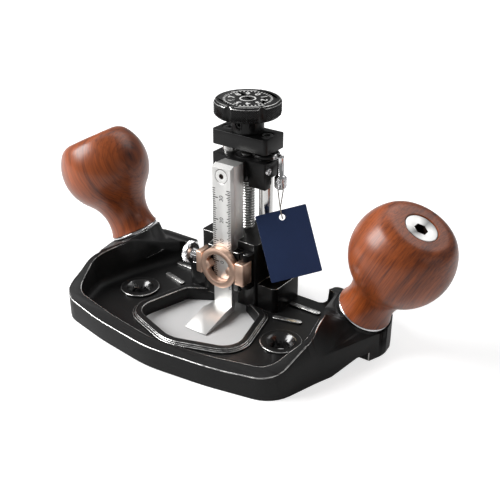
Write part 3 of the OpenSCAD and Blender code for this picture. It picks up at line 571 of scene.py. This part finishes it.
def turned(profile, sides=96, closed=True):
    """A lathe piece round Z: one ring drawn out and resized along a profile of radius and height"""
    radius, level = profile[0]
    obj = added(bpy.ops.mesh.primitive_circle_add, vertices=sides, radius=radius, location=(0, 0, 0))
    edit_all()
    bpy.ops.transform.translate(value=(0, 0, level))
    for r, z in profile[1:] + profile[:1] if closed else profile[1:]:
        bpy.ops.mesh.extrude_edges_move(TRANSFORM_OT_translate={"value": (0, 0, z - level)})
        if abs(r - radius) > 1e-9:
            bpy.ops.transform.resize(value=(r / radius, r / radius, 1), center_override=(0, 0, z))
        radius, level = r, z
    bpy.ops.mesh.select_all(action="SELECT")
    bpy.ops.mesh.remove_doubles(threshold=1e-6)
    if not closed:
        bpy.ops.mesh.fill_holes(sides=0)
        bpy.ops.mesh.select_all(action="SELECT")
    bpy.ops.mesh.normals_make_consistent(inside=False)
    to_mode("OBJECT")
    return obj


def repeat(obj, count, offset=None, step=None):
    """Copies a shape in a row, or round an axis by a step matrix"""
    m = still(obj).modifiers.new("repeat", "ARRAY")
    m.fit_type, m.count, m.use_relative_offset = "FIXED_COUNT", count, False
    pivot = None
    if offset:
        m.use_constant_offset, m.constant_offset_displace = True, offset
    else:
        pivot = linked("pivot", None)
        pivot.matrix_world = step
        m.use_object_offset, m.offset_object = True, pivot
    bpy.context.view_layer.update()
    apply_all(obj)
    if pivot:
        bpy.data.objects.remove(pivot)
    return obj


def about(axis, angle, centre=(0, 0, 0)):
    """A turn about an axis through a point"""
    return Matrix.Translation(centre) @ Matrix.Rotation(angle, 4, axis) @ Matrix.Translation(-Vector(centre))


def joined(first, *others):
    pick(first)
    for other in others:
        other.select_set(True)
    bpy.ops.object.join()
    return first


def plain_box(size, at):
    obj = added(bpy.ops.mesh.primitive_cube_add, size=1.0, location=at)
    obj.scale = size
    return still(obj)


def block(size, at, edge=None, segments=1):
    """A box with its edges chamfered or rounded"""
    obj = plain_box(size, at)
    edit_all()
    bpy.ops.mesh.bevel(offset=edge or min(size) * 0.2, segments=segments, affect="EDGES")
    to_mode("OBJECT")
    return obj


def diamond(wide, high, proud, at, turn):
    """A low four-sided point of a knurl, standing along the turned Z"""
    blunt = 0.12
    obj = added(bpy.ops.mesh.primitive_cone_add, vertices=4, radius1=1.0, radius2=blunt, depth=1.0,
                end_fill_type="NGON", location=at)
    obj.rotation_euler = turn
    obj.scale = (high / 2, wide / 2, proud)
    return still(obj)


def knurled(radius, low, high, first, last, columns, rows, proud):
    """Diamonds on a drum round Z, between two levels and two angles"""
    pitch = (last - first) / columns
    rise = (high - low) / rows
    overlap = 1.04
    made = []
    for shift in (0.0, 0.5):
        spot = first + pitch * (0.25 + shift)
        at = (radius * math.cos(spot), radius * math.sin(spot), low + rise * (0.25 + shift))
        one = diamond(radius * pitch * overlap, rise * overlap, proud, at, (0, math.pi / 2, spot))
        made.append(one)
    cell = joined(*made)
    repeat(cell, rows, offset=(0, 0, rise))
    repeat(cell, columns, step=about("Z", pitch))
    return cell


def number(text, size, place, bold=0.0):
    """A numeral of a scale as a thin mesh"""
    made = added(bpy.ops.object.text_add)
    made.data.body = text
    made.data.size, made.data.extrude, made.data.offset = size, 0.015 * MM, bold
    made.data.align_x, made.data.align_y = "CENTER", "CENTER"
    made.matrix_world = place
    bpy.ops.object.convert(target="MESH")
    return still(bpy.context.object)


# Operators

class ROUTER_OT_stage(bpy.types.Operator):
    """Camera, floor, lights and background"""
    bl_idname = "router.stage"
    bl_label = "Studio"

    def execute(self, context):
        scene = context.scene
        data = bpy.data.cameras.new("photo_camera")
        data.lens, data.sensor_width = 60.7, 36.0
        data.clip_start, data.clip_end = 0.01, 20.0
        camera = linked("photo_camera", data)
        axes = Matrix((CAMERA_RIGHT, CAMERA_UP, CAMERA_BACK)).transposed()
        camera.matrix_world = Matrix.Translation(CAMERA_AT) @ axes.to_4x4()
        scene.camera = camera
        scene.view_settings.view_transform = "Standard"

        scene.world = bpy.data.worlds.new("studio")
        sky = Finish("studio", scene.world)
        shown = sky.node("ShaderNodeMath", {"operation": "MAXIMUM"},
                         {0: sky.ray("Camera"), 1: sky.ray("Glossy") * 0.12})
        soft, white = (sky.node("ShaderNodeBackground", {}, {"Color": (1, 1, 1, 1), "Strength": strength})
                       for strength in (0.07, 1.0))
        both = sky.node("ShaderNodeMixShader", {}, {0: shown, 1: soft, 2: white})
        sky.node("ShaderNodeOutputWorld", {}, {"Surface": both})

        floor = added(bpy.ops.mesh.primitive_plane_add, size=8.0, location=(0, 0, -0.2 * MM))
        floor.name = "studio_floor"
        f = Finish("studio_floor")
        lit = f.node("ShaderNodeBsdfDiffuse", {}, {"Color": (0.66, 0.66, 0.66, 1)})
        # Painted shade: the floor's glow nearly vanishes under the throat and rises away from the tool
        from_throat = f.place(shift=(0, 0.026, 0))
        reach = f.node("ShaderNodeVectorMath", {"operation": "LENGTH"}, {0: from_throat}, "Value")
        rise = [(0.024, 0.02), (0.050, 0.72), (0.30, 0.78), (0.95, 1.0)]
        glow_with_painted_shade = f.node("ShaderNodeEmission", {}, {
            "Color": f.ramp(reach, [(place, (grey, grey, grey)) for place, grey in rise])})
        seen = f.ray("Camera") + f.ray("Glossy") * 0.4
        lift = f.node("ShaderNodeAddShader", {}, {0: lit, 1: glow_with_painted_shade})
        both = f.node("ShaderNodeMixShader", {}, {0: seen, 1: lit, 2: lift})
        f.node("ShaderNodeOutputMaterial", {}, {"Surface": both})
        floor.data.materials.append(f.owner)

        def softbox(name, power, size, spot, aim=(0, -0.02, 0.04)):
            lamp = bpy.data.lights.new(name, "AREA")
            lamp.shape, lamp.size, lamp.size_y, lamp.energy = "RECTANGLE", size[0], size[1], power
            holder = linked(name, lamp)
            holder.location = spot
            holder.rotation_mode = "QUATERNION"
            holder.rotation_quaternion = (Vector(aim) - Vector(spot)).to_track_quat("-Z", "Y")

        softbox("key_left", sizes().key_light, (0.58, 0.58), (-0.60, -0.46, 0.64))
        softbox("fill_right", sizes().fill_light, (0.6, 0.5), (0.85, 0.12, 0.32))
        softbox("back_top", 1.6, (0.7, 0.45), (0.10, 0.62, 0.72), (0.07, 0, 0.06))
        softbox("sky_left", 1.0, (0.8, 0.5), (-0.45, 0.35, 0.80))
        return {"FINISHED"}


class ROUTER_OT_castings(bpy.types.Operator):
    """Sole, post, top plate and slide with rounded edges"""
    bl_idname = "router.castings"
    bl_label = "Castings"

    def execute(self, context):
        width = sizes().edge_round
        seats = [box_centre("ferrule_" + word) for side, word in SIDES]
        highlight_edges_from, highlight_edge_length, unlit_round_seat = mm(3.0, 0.5, 24.0)
        steepest = 0.75

        # Edges that take the painted highlight: high and long enough, not steep, and away from the handle
        # seats, whose edges face away from the light
        def tray_edge(a, b):
            mid, run = (a + b) / 2, b - a
            long_enough = run.length > highlight_edge_length and abs(run.z) < steepest * run.length
            return mid.z > highlight_edges_from and long_enough and all(
                (mid - seat).xy.length > unlit_round_seat for seat in seats)

        def long_edge(a, b):
            return (b - a).length > 3.0 * MM
        tray = rounded_copy("sole_plate", "tray_sole", width, segments=3, angle=42.0, smooth=50.0,
                            wear_and_highlight_edges=tray_edge)
        tray.data.materials.append(MATERIALS["gloss_black"])
        holes = next(m for m in frame["record"]["mounts"] if m["name"] == "base_holes")
        hole = Vector((holes["dims"]["spacing_x_mm"] / 2 * MM, holes["pos_m"][1]))
        collar_r = 6.0 * MM
        rib_low, rib_high = Vector((25.0, -17.0, 4.9)) * MM, Vector((39.8, -1.2, 6.5)) * MM
        for face in tray.data.polygons:
            spot = Vector((abs(face.center.x), face.center.y, face.center.z))
            if (spot.xy - hole).length < collar_r and 0.15 < face.normal.z < 0.95:
                face.material_index = 2
            # Rib tops take the bright edge finish too: bare metal and painted highlight
            if all(rib_low[k] < spot[k] < rib_high[k] for k in range(3)):
                face.material_index = 1
        # Long edges of the post take the bright edge finish: bare metal and painted highlight
        rounded_copy("post_housing", "post_casting", width * 0.5, wear_and_highlight_edges=long_edge)
        rounded_copy("top_plate", "head_plate", width * 0.6)
        rounded_copy("slide_block", "slide_casting", width * 0.5)
        return {"FINISHED"}


class ROUTER_OT_adjuster(bpy.types.Operator):
    """Adjuster knob with a sunk dial face, a diamond knurl, ticks and numbers"""
    bl_idname = "router.adjuster"
    bl_label = "Adjuster knob"

    def knob(self, top, radius):
        """The solid's knob with its rim drawn in for the knurl and its face sunk for the dial"""
        rim_depth, rim_width, knurl_width = mm(1.0, 2.5, 3.0)
        drawn_in = 0.98
        lip, sunk, slope = mm(0.9, 0.15, 0.12)

        # Top edges of the rim take the bright edge finish: bare metal and painted highlight
        def rim_edge(a, b):
            return min(a.z, b.z) > top - rim_depth and min(a.xy.length, b.xy.length) > radius - rim_width
        knob = rounded_copy("adjuster_knob", "dial_knob", 0.16 * MM, wear_and_highlight_edges=rim_edge)
        pick(knob)
        choose(knob, "VERT", lambda vert: vert.co.xy.length > radius - knurl_width)
        bpy.ops.transform.resize(value=(drawn_in, drawn_in, 1), center_override=(0, 0, top))
        choose(knob, "VERT", lambda vert: vert.co.z > top)
        bpy.ops.transform.resize(value=(1, 1, 0), center_override=(0, 0, top))
        choose(knob, "FACE", lambda face: face.normal.z > 0.99 and face.center.z > top - 0.05 * MM)
        bpy.ops.mesh.dissolve_faces()
        bpy.ops.mesh.inset(thickness=lip, depth=0.0, use_even_offset=False)
        bpy.ops.mesh.inset(thickness=slope, depth=-sunk, use_even_offset=False)
        to_mode("OBJECT")

    def knurl(self, top, radius):
        """Diamonds on the six sectors between the finger scallops"""
        sectors, half = 6, math.radians(22.5)
        low, high = top - 5.8 * MM, top - 0.95 * MM
        sunk, proud = mm(0.25, 0.5)
        columns, rows = sizes().knurl_columns, sizes().knurl_rows
        band = knurled(radius - sunk, low, high, -half, half, columns, rows, proud)
        repeat(band, sectors, step=about("Z", math.tau / sectors))
        settle(band, "dial_knurl", "adjuster_knob", smooth=10.0, replace=False)

    def dial(self, face):
        """Ticks, two arcs, a hub ring and the numbers, all painted white"""
        thick, under, over = 0.06 * MM, face - 0.02 * MM, face + 0.03 * MM
        tick_at, arc_at, number_at = mm(9.9, 11.2, 6.9)
        hub_in, hub_out = mm(2.9, 3.5)
        tick, dash = (1.0 * MM, 0.55 * MM, thick), (0.5 * MM, 0.95 * MM, thick)
        dashes, dash_step, arc_from = 13, math.radians(4.4), math.radians(-72.0)
        around = sizes().dial_ticks
        ticks = repeat(block(tick, (tick_at, 0, face)), around, step=about("Z", math.tau / around))
        arcs = repeat(block(dash, (arc_at, 0, face)), dashes, step=about("Z", dash_step))
        arcs.rotation_euler.z = arc_from
        repeat(arcs, 2, step=about("Z", math.pi))
        hub = turned([(hub_in, under), (hub_out, under), (hub_out, over), (hub_in, over)])
        numbers = []
        for k in range(10):
            spot = about("Z", -math.tau * k / 10) @ Matrix.Translation((0, number_at, face))
            numbers.append(number(str(k), size=3.9 * MM, place=spot, bold=0.13 * MM))
        settle(joined(ticks, arcs, hub, *numbers), "dial_ticks", "adjuster_knob", "mark_white",
               replace=False)

    def execute(self, context):
        low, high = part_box("adjuster_knob")
        top, radius = high.z, (high.y - low.y) / 2
        self.knob(top, radius)
        self.knurl(top, radius)
        self.dial(face=top - 0.14 * MM)
        return {"FINISHED"}


class ROUTER_OT_lead_screw(bpy.types.Operator):
    """Lead screw with its thread, drawn by a screw modifier from one flank profile"""
    bl_idname = "router.lead_screw"
    bl_label = "Lead screw"

    def execute(self, context):
        low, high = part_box("lead_screw")
        radius = (high.x - low.x) / 2
        pitch, depth = sizes().thread_pitch, sizes().thread_depth
        bottom, top = low.z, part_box("retaining_clip")[0].z
        crest, facets = 0.2, 28
        obj = added(bpy.ops.mesh.primitive_plane_add, size=1.0, rotation=(math.pi / 2, 0, 0),
                    location=(radius - depth / 2, 0, bottom + pitch / 2))
        obj.scale = (depth, pitch, 1)
        still(obj)
        outer = radius - depth * 0.1
        choose(obj, "VERT", lambda vert: vert.co.x > outer)
        bpy.ops.transform.resize(value=(1, 1, crest), center_override=(radius, 0, bottom + pitch / 2))
        bpy.ops.mesh.select_all(action="SELECT")
        bpy.ops.mesh.delete(type="ONLY_FACE")
        choose(obj, "EDGE", lambda edge: all(obj.data.vertices[v].co.x < outer for v in edge.vertices))
        bpy.ops.mesh.delete(type="EDGE")
        to_mode("OBJECT")
        turn = obj.modifiers.new("thread", "SCREW")
        turn.axis, turn.angle, turn.screw_offset = "Z", math.tau, pitch
        turn.iterations, turn.steps, turn.render_steps = int((top - bottom) / pitch) - 1, facets, facets
        turn.use_merge_vertices, turn.merge_threshold = True, 1e-6
        apply_all(obj)
        edit_all()
        bpy.ops.mesh.remove_doubles(threshold=1e-6)
        bpy.ops.mesh.normals_make_consistent(inside=False)
        to_mode("OBJECT")
        below_dial = 2.2 * MM
        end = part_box("adjuster_knob")[1].z - below_dial
        root = radius - depth * 0.97
        toe, head = mm(0.5, 0.4)
        core = turned([(root - toe, bottom), (root, bottom + toe), (root, end - head), (root - head, end)],
                      40, closed=False)
        settle(joined(obj, core), "threaded_spindle", "lead_screw", smooth=25.0)
        return {"FINISHED"}


class ROUTER_OT_handles(bpy.types.Operator):
    """Turned wooden knobs with their ferrules and bolts"""
    bl_idname = "router.handles"
    bl_label = "Handles"

    bore = 3.35 * MM
    ferrule_t = 2.2 * MM
    ferrule_r = 11.4 * MM

    def grip_profile(self):
        """A hollow neck that runs into the ball, a rounded end and the seat of the bolt's head"""
        length, ball, dome = sizes().grip_length, sizes().grip_width / 2, 15.5 * MM
        neck, neck_at = sizes().neck_width / 2, 6.5 * MM
        ball_at, end_r = length - dome, 8.0 * MM
        rise = ball_at - neck_at
        hollow = (neck * neck + rise * rise - ball * ball) / (2 * (ball - neck))
        join = math.atan2(-rise, neck + hollow)
        foot = math.pi + math.asin(neck_at / hollow)
        end_s = dome - end_r
        end_x = math.sqrt((ball - end_r) ** 2 - end_s ** 2)
        lean = math.atan2(end_s, end_x)

        def arc(x, y, r, start, stop, n):
            angles = [start + (stop - start) * k / n for k in range(n + 1)]
            return [(x + r * math.cos(a), y + r * math.sin(a)) for a in angles]
        curve = arc(neck + hollow, neck_at, hollow, foot, math.pi + join, 12)
        curve += arc(0, ball_at, ball, join, lean, 22)[1:]
        curve += arc(end_x, length - end_r, end_r, lean, math.pi / 2, 8)[1:]
        seat, seat_depth, chamfer = mm(6.85, 2.2, 0.3)
        return [(self.bore, 0.0), (curve[0][0] - 0.4 * MM, 0.0), (curve[0][0], chamfer)] + curve[1:] + [
            (seat + chamfer, length), (seat, length - chamfer), (seat, length - seat_depth),
            (self.bore, length - seat_depth)]

    def ferrule(self):
        """A ring with a rounded bead"""
        bead = ((-0.9, 0), (-0.9, 0.45), (-0.3, 0.5), (-0.06, 0.7), (0, 1.0), (0, 1.5), (-0.1, 1.85),
                (-0.4, 2.1), (-0.8, 2.2))
        outside = [(self.ferrule_r + x * MM, z * MM) for x, z in bead]
        return turned([(self.bore, 0)] + outside + [(self.bore, self.ferrule_t)])

    def bolt(self):
        """A bolt with a dished head and a hexagon socket"""
        length = sizes().grip_length
        socket_r, socket_depth, socket_up = mm(2.89, 3.0, 1.6)
        made = turned([(r * MM, length + z * MM) for r, z in (
            (2.7, -56.0), (3.1, -55.6), (3.1, 0), (6.3, 0), (6.7, 0.3), (6.7, 1.7), (6.55, 1.95),
            (6.2, 2.05), (3.0, 1.5))], closed=False)
        hexagon = added(bpy.ops.mesh.primitive_cylinder_add, vertices=6, radius=socket_r,
                        depth=2 * socket_depth, location=(0, 0, length + socket_up))
        cut = made.modifiers.new("socket", "BOOLEAN")
        cut.operation, cut.object = "DIFFERENCE", hexagon
        apply_all(made)
        bpy.data.objects.remove(hexagon)
        return made

    def socket_well(self):
        """A thin lining of the socket, dark with painted shade"""
        low, high = sizes().grip_length - 1.3 * MM, sizes().grip_length + 1.45 * MM
        inner, outer, eye, floor = 2.66 * MM, 2.8 * MM, 0.05 * MM, low + 0.1 * MM
        wall = [(inner, high), (outer, high), (outer, low)]
        return turned(wall + [(eye, low), (eye, floor), (inner, floor)], 6)

    def execute(self, context):
        for side, word in SIDES:
            tilt = Matrix.Rotation(side * sizes().handle_tilt, 4, "Y")
            turn = tilt @ Matrix.Rotation(sizes().handle_lean, 4, "X")
            seat = Matrix.Translation(box_centre("ferrule_" + word)) @ turn
            seat = seat @ Matrix.Translation((0, 0, -self.ferrule_t / 2))
            ring = self.ferrule()
            ring.matrix_world = seat
            settle(ring, "ferrule_ring_" + word, "ferrule_" + word)
            grip = turned(self.grip_profile())
            grip.matrix_world = seat @ Matrix.Translation((0, 0, self.ferrule_t))
            settle(grip, "turned_knob_" + word, "handle_" + word, smooth=40.0)
            bolt = self.bolt()
            bolt.matrix_world = seat
            settle(bolt, "cap_bolt_" + word, "handle_bolt_" + word, smooth=30.0)
            well = self.socket_well()
            well.matrix_world = seat
            settle(well, "socket_well_" + word, "handle_bolt_" + word, "dark_socket",
                   replace=False)
        return {"FINISHED"}


class ROUTER_OT_blade(bpy.types.Operator):
    """Blade, its bar, and the two scales with their numbers"""
    bl_idname = "router.blade"
    bl_label = "Blade"

    def screw_socket(self):
        """Painted shade: a dark ring in the gap round the blade screw's head, and a dark hexagon in it"""
        shade = turned([mm(r, h) for r, h in ((2.72, 0), (3.42, 0), (3.42, 0.05), (2.72, 0.05))], 48)
        well = turned([mm(r, h) for r, h in (
            (0.9, 0.09), (1.25, 0.09), (1.25, -0.6), (0.05, -0.6), (0.05, -0.5), (0.9, -0.5))], 6)
        sunk = 0.08 * MM
        cap = joined(shade, well)
        cap.rotation_euler.x = math.pi / 2
        cap.location = (0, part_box("blade_screw")[0].y + sunk, box_centre("blade_screw").z)
        settle(cap, "screw_socket", "blade_screw", "dark_socket", replace=False)

    def execute(self, context):
        rounded_copy("blade", "l_blade", 0.10 * MM, segments=1)
        rounded_copy("blade_bar", "backing_bar", 0.15 * MM, segments=1)
        self.screw_socket()
        low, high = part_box("blade_bar")
        left, right = low.x, high.x
        blade_t, inset, thin = mm(2.55, 0.15, 0.05)
        front = low.y - blade_t
        zero, inch = mm(24.9, 25.4)
        first = zero - 12 * MM

        def ticks(edge, inward, length, wide, start, gap, count):
            one = block((length, thin, wide), (edge + inward * (length / 2 + inset), front, start))
            return repeat(one, count, offset=(0, 0, gap))
        marks = joined(
            ticks(left, 1, 1.4 * MM, 0.40 * MM, first, 1 * MM, 47),
            ticks(left, 1, 2.0 * MM, 0.42 * MM, zero - 10 * MM, 5 * MM, 9),
            ticks(left, 1, 2.7 * MM, 0.44 * MM, zero - 10 * MM, 10 * MM, 5),
            ticks(right, -1, 1.3 * MM, 0.34 * MM, first, inch / 32, 59),
            ticks(right, -1, 1.9 * MM, 0.38 * MM, first + inch / 16, inch / 8, 15),
            ticks(right, -1, 2.5 * MM, 0.40 * MM, first + inch / 4, inch / 2, 4))
        settle(marks, "blade_ticks", "blade", "mark_ink", replace=False)
        upright = Matrix.Rotation(-math.pi / 2, 4, "Y") @ Matrix.Rotation(math.pi / 2, 4, "X")
        numbers, off_centre, proud = [], -0.05 * MM, 0.02 * MM
        for k in range(4):
            spot = Matrix.Translation((off_centre, front - proud, zero + 10 * MM * k))
            numbers.append(number(str(10 * k), size=2.7 * MM, place=spot @ upright))
        settle(joined(*numbers), "blade_numbers", "blade", "mark_ink", replace=False)
        return {"FINISHED"}


class ROUTER_OT_clamp(bpy.types.Operator):
    """Ring clamp, knurled thumbscrew and lock knob"""
    bl_idname = "router.clamp"
    bl_label = "Clamp"

    ring_back = -19.0 * MM
    ring_t = 3.4 * MM

    def pointer(self, side, level):
        """One arrow of the ring, drawn out of a block towards the blade's scale"""
        root_at, reach, point = 6.05 * MM, 1.3 * MM, 0.06
        root = mm(1.5, 3.2, 4.2)
        obj = plain_box(root, (side * root_at, self.ring_back - self.ring_t / 2, level))
        choose(obj, "FACE", lambda face: face.normal.x * side < -0.9)
        bpy.ops.mesh.extrude_region_move(TRANSFORM_OT_translate={"value": (-side * reach, 0, 0)})
        bpy.ops.transform.resize(value=(1, 1, point), center_override=(0, 0, level))
        to_mode("OBJECT")
        edge = obj.modifiers.new("edges", "BEVEL")
        edge.width, edge.segments = 0.2 * MM, 2
        apply_all(obj)
        return obj

    def ring_clamp(self):
        """The ring with its two lugs, the knuckle of its hinge and two pointers"""
        hinge = Vector(JOINTS["clamp_swing"]["pos_m"])
        ring = turned([mm(r, h) for r, h in (
            (6.5, 0.5), (6.58, 0.15), (6.85, 0), (8.9, 0), (9.2, 0.15), (9.3, 0.5), (9.3, 3.0), (9.22, 3.28),
            (9.0, 3.4), (6.8, 3.4), (6.58, 3.28), (6.5, 3.0))])
        ring.rotation_euler.x = math.pi / 2
        ring.location = (0, self.ring_back, hinge.z)
        still(ring)
        tall, soft = mm(10.4, 0.6)
        left = block((3.2 * MM, 7.5 * MM, tall), (-10.4 * MM, -18.65 * MM, hinge.z), soft, 3)
        right = block((4.8 * MM, 5.3 * MM, tall), (hinge.x, -19.75 * MM, hinge.z), soft, 3)
        knuckle = turned([mm(r, h) for r, h in (
            (1.25, -5.2), (2.1, -5.2), (2.4, -4.9), (2.4, 4.9), (2.1, 5.2), (1.25, 5.2))], 40)
        knuckle.location = hinge
        still(knuckle)
        points = [self.pointer(side, hinge.z) for side, word in SIDES]
        settle(joined(ring, left, right, knuckle, *points), "ring_clamp", "blade_clamp", smooth=32.0)

    def execute(self, context):
        self.ring_clamp()
        rounded_copy("clamp_thumbscrew", "thumbscrew_body", 0.12 * MM)
        low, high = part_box("clamp_thumbscrew")
        centre = box_centre("clamp_thumbscrew")
        radius, ridges = (high.z - low.z) / 2, 36
        along, sunk = mm(1.5, 0.05)
        ridge = block(mm(2.0, 0.5, 0.5), (low.x + along, centre.y, centre.z + radius - sunk))
        ridge = repeat(ridge, ridges, step=about("X", math.tau / ridges, centre))
        settle(ridge, "thumbscrew_knurl", "clamp_thumbscrew", smooth=20.0, replace=False)
        rounded_copy("lock_knob", "brass_lock_knob", 0.25 * MM)
        return {"FINISHED"}


class ROUTER_OT_tag(bpy.types.Operator):
    """Clasp, twisted string and bare card"""
    bl_idname = "router.tag"
    bl_label = "Hang tag"

    turn, lean, skew = math.radians(35.8), math.radians(27.3), math.radians(14.0)

    def card_axes(self):
        """Directions out of the card's face and up towards its hole"""
        wide = Vector((math.cos(self.turn), math.sin(self.turn), 0))
        back = Vector((-math.sin(self.turn), math.cos(self.turn), 0))
        tall = math.sin(self.lean) * back + Vector((0, 0, math.cos(self.lean)))
        return wide.cross(tall), math.cos(self.skew) * tall - math.sin(self.skew) * wide

    def clasp(self):
        """A chromed swivel clasp with a black hook and a beaded end"""
        body_x, hook_end = mm(16.8, 14.6)
        body = rounded_copy("tag_clasp", "swivel_clasp", 0.0, smooth=45.0)
        body.data.materials.append(MATERIALS["machined_black"])
        for side in body.data.polygons:
            if side.center.x < hook_end:
                side.material_index = 1
        bead_r, low, high, proud = mm(2.55, 58.2, 62.0, 0.3)
        beads = knurled(bead_r, low, high, 0.0, math.tau, columns=12, rows=3, proud=proud)
        beads.location = (body_x, 0, 0)
        settle(beads, "clasp_beads", "tag_clasp", smooth=10.0, replace=False)

    def card(self):
        """A navy card with white cut edges"""
        face = self.card_axes()[0]
        card = rounded_copy("hang_tag", "bare_card", 0.08 * MM, segments=1)
        card.data.materials.append(MATERIALS["mark_white"])
        for side in card.data.polygons:
            if abs(side.normal.dot(face)) < 0.3:
                side.material_index = 1

    def route(self):
        """Points of the string in millimetres, from the clasp through the card's hole and back"""
        face, up = self.card_axes()
        centre, hole_up, bend = Vector((25.7, -6.35, 36.5)), 11.8, 1.1
        mid = centre + hole_up * up
        front, rear, drop = Vector((15.3, 0.2, 57.6)), Vector((18.3, 0, 57.6)), Vector((0, 0, 0.6))
        over, near, far = 3.0, 0.4, 1.6
        front_edge, rear_edge = mid + bend * face + over * up, mid - bend * face + over * up
        leg = (0.3, 0.5, 0.7, 0.85)
        points = [front, front - drop]
        points += [front - drop + t * (front_edge - front + drop) for t in leg]
        points += [front_edge - near * up, front_edge - far * up]
        angles = [math.pi * k / 8 for k in range(9)]
        points += [mid + bend * (math.cos(a) * face - math.sin(a) * up) for a in angles]
        points += [rear_edge - far * up, rear_edge - near * up]
        points += [rear - drop + t * (rear_edge - rear + drop) for t in reversed(leg)]
        return points + [rear - drop, rear]

    def string(self):
        """Two plies wound round the route"""
        ply_r, twist_r, twist, stride = 0.16 * MM, 0.13, 0.9, 0.2
        route = self.route()
        fine = []
        for a, b in zip(route, route[1:]):
            steps = max(1, round((b - a).length / stride))
            fine += [a + (b - a) * k / steps for k in range(steps)]
        fine.append(route[-1])
        curve = added(bpy.ops.curve.primitive_bezier_curve_add).data
        curve.splines.clear()
        curve.bevel_depth, curve.bevel_resolution, curve.use_fill_caps = ply_r, 2, True
        for ply in (0.0, math.pi):
            line = curve.splines.new("POLY")
            line.points.add(len(fine) - 1)
            for k, spot in enumerate(fine):
                run = (fine[min(k + 1, len(fine) - 1)] - fine[max(k - 1, 0)]).normalized()
                side = Vector((1, 0.3, 0.1)).cross(run).normalized()
                angle = ply + k * twist
                off = twist_r * (math.cos(angle) * side + math.sin(angle) * run.cross(side))
                line.points[k].co = (*((spot + off) * MM), 1)
        bpy.ops.object.convert(target="MESH")
        settle(bpy.context.object, "twisted_string", "tag_string", smooth=60.0)

    def execute(self, context):
        self.clasp()
        self.card()
        self.string()
        return {"FINISHED"}


class ROUTER_OT_hardware(bpy.types.Operator):
    """Rods, screws, washers and pins with their edges broken"""
    bl_idname = "router.hardware"
    bl_label = "Hardware"

    def execute(self, context):
        for node, width in (("guide_rod_left", 0.2), ("guide_rod_right", 0.2), ("post_screws", 0.12),
                            ("plate_screws", 0.2), ("thrust_washer", 0.12), ("retaining_clip", 0.1),
                            ("knob_grub_screw", 0.1), ("lead_nut", 0.15), ("nut_lock_screw", 0.15),
                            ("blade_screw", 0.1), ("clamp_hinge_pin", 0.15)):
            rounded_copy(node, node + "_finished", width * MM)
        return {"FINISHED"}


class ROUTER_PT_panel(bpy.types.Panel):
    """Lists the pieces of the tool"""
    bl_label = "Router Plane"
    bl_idname = "ROUTER_PT_panel"
    bl_space_type = "VIEW_3D"
    bl_region_type = "UI"
    bl_category = "Router Plane"

    def draw(self, context):
        for made in STEPS:
            self.layout.operator(made.bl_idname)
        for key in RouterSizes.__annotations__:
            self.layout.prop(context.scene.router_sizes, key)
        for key in RouterColours.__annotations__:
            self.layout.prop(context.scene.router_colours, key)


STEPS = (ROUTER_OT_stage, ROUTER_OT_castings, ROUTER_OT_adjuster, ROUTER_OT_lead_screw, ROUTER_OT_handles,
         ROUTER_OT_blade, ROUTER_OT_clamp, ROUTER_OT_tag, ROUTER_OT_hardware)
CLASSES = (RouterSizes, RouterColours, *STEPS, ROUTER_PT_panel)


def register():
    for made in CLASSES:
        bpy.utils.register_class(made)
    bpy.types.Scene.router_sizes = PointerProperty(type=RouterSizes)
    bpy.types.Scene.router_colours = PointerProperty(type=RouterColours)


def unregister():
    del bpy.types.Scene.router_colours
    del bpy.types.Scene.router_sizes
    for made in reversed(CLASSES):
        bpy.utils.unregister_class(made)


def main():
    register()
    make_materials()
    bpy.ops.router.stage()
    bpy.ops.router.castings()
    bpy.ops.router.adjuster()
    bpy.ops.router.lead_screw()
    bpy.ops.router.handles()
    bpy.ops.router.blade()
    bpy.ops.router.clamp()
    bpy.ops.router.tag()
    bpy.ops.router.hardware()


if __name__ == "__main__":
    main()
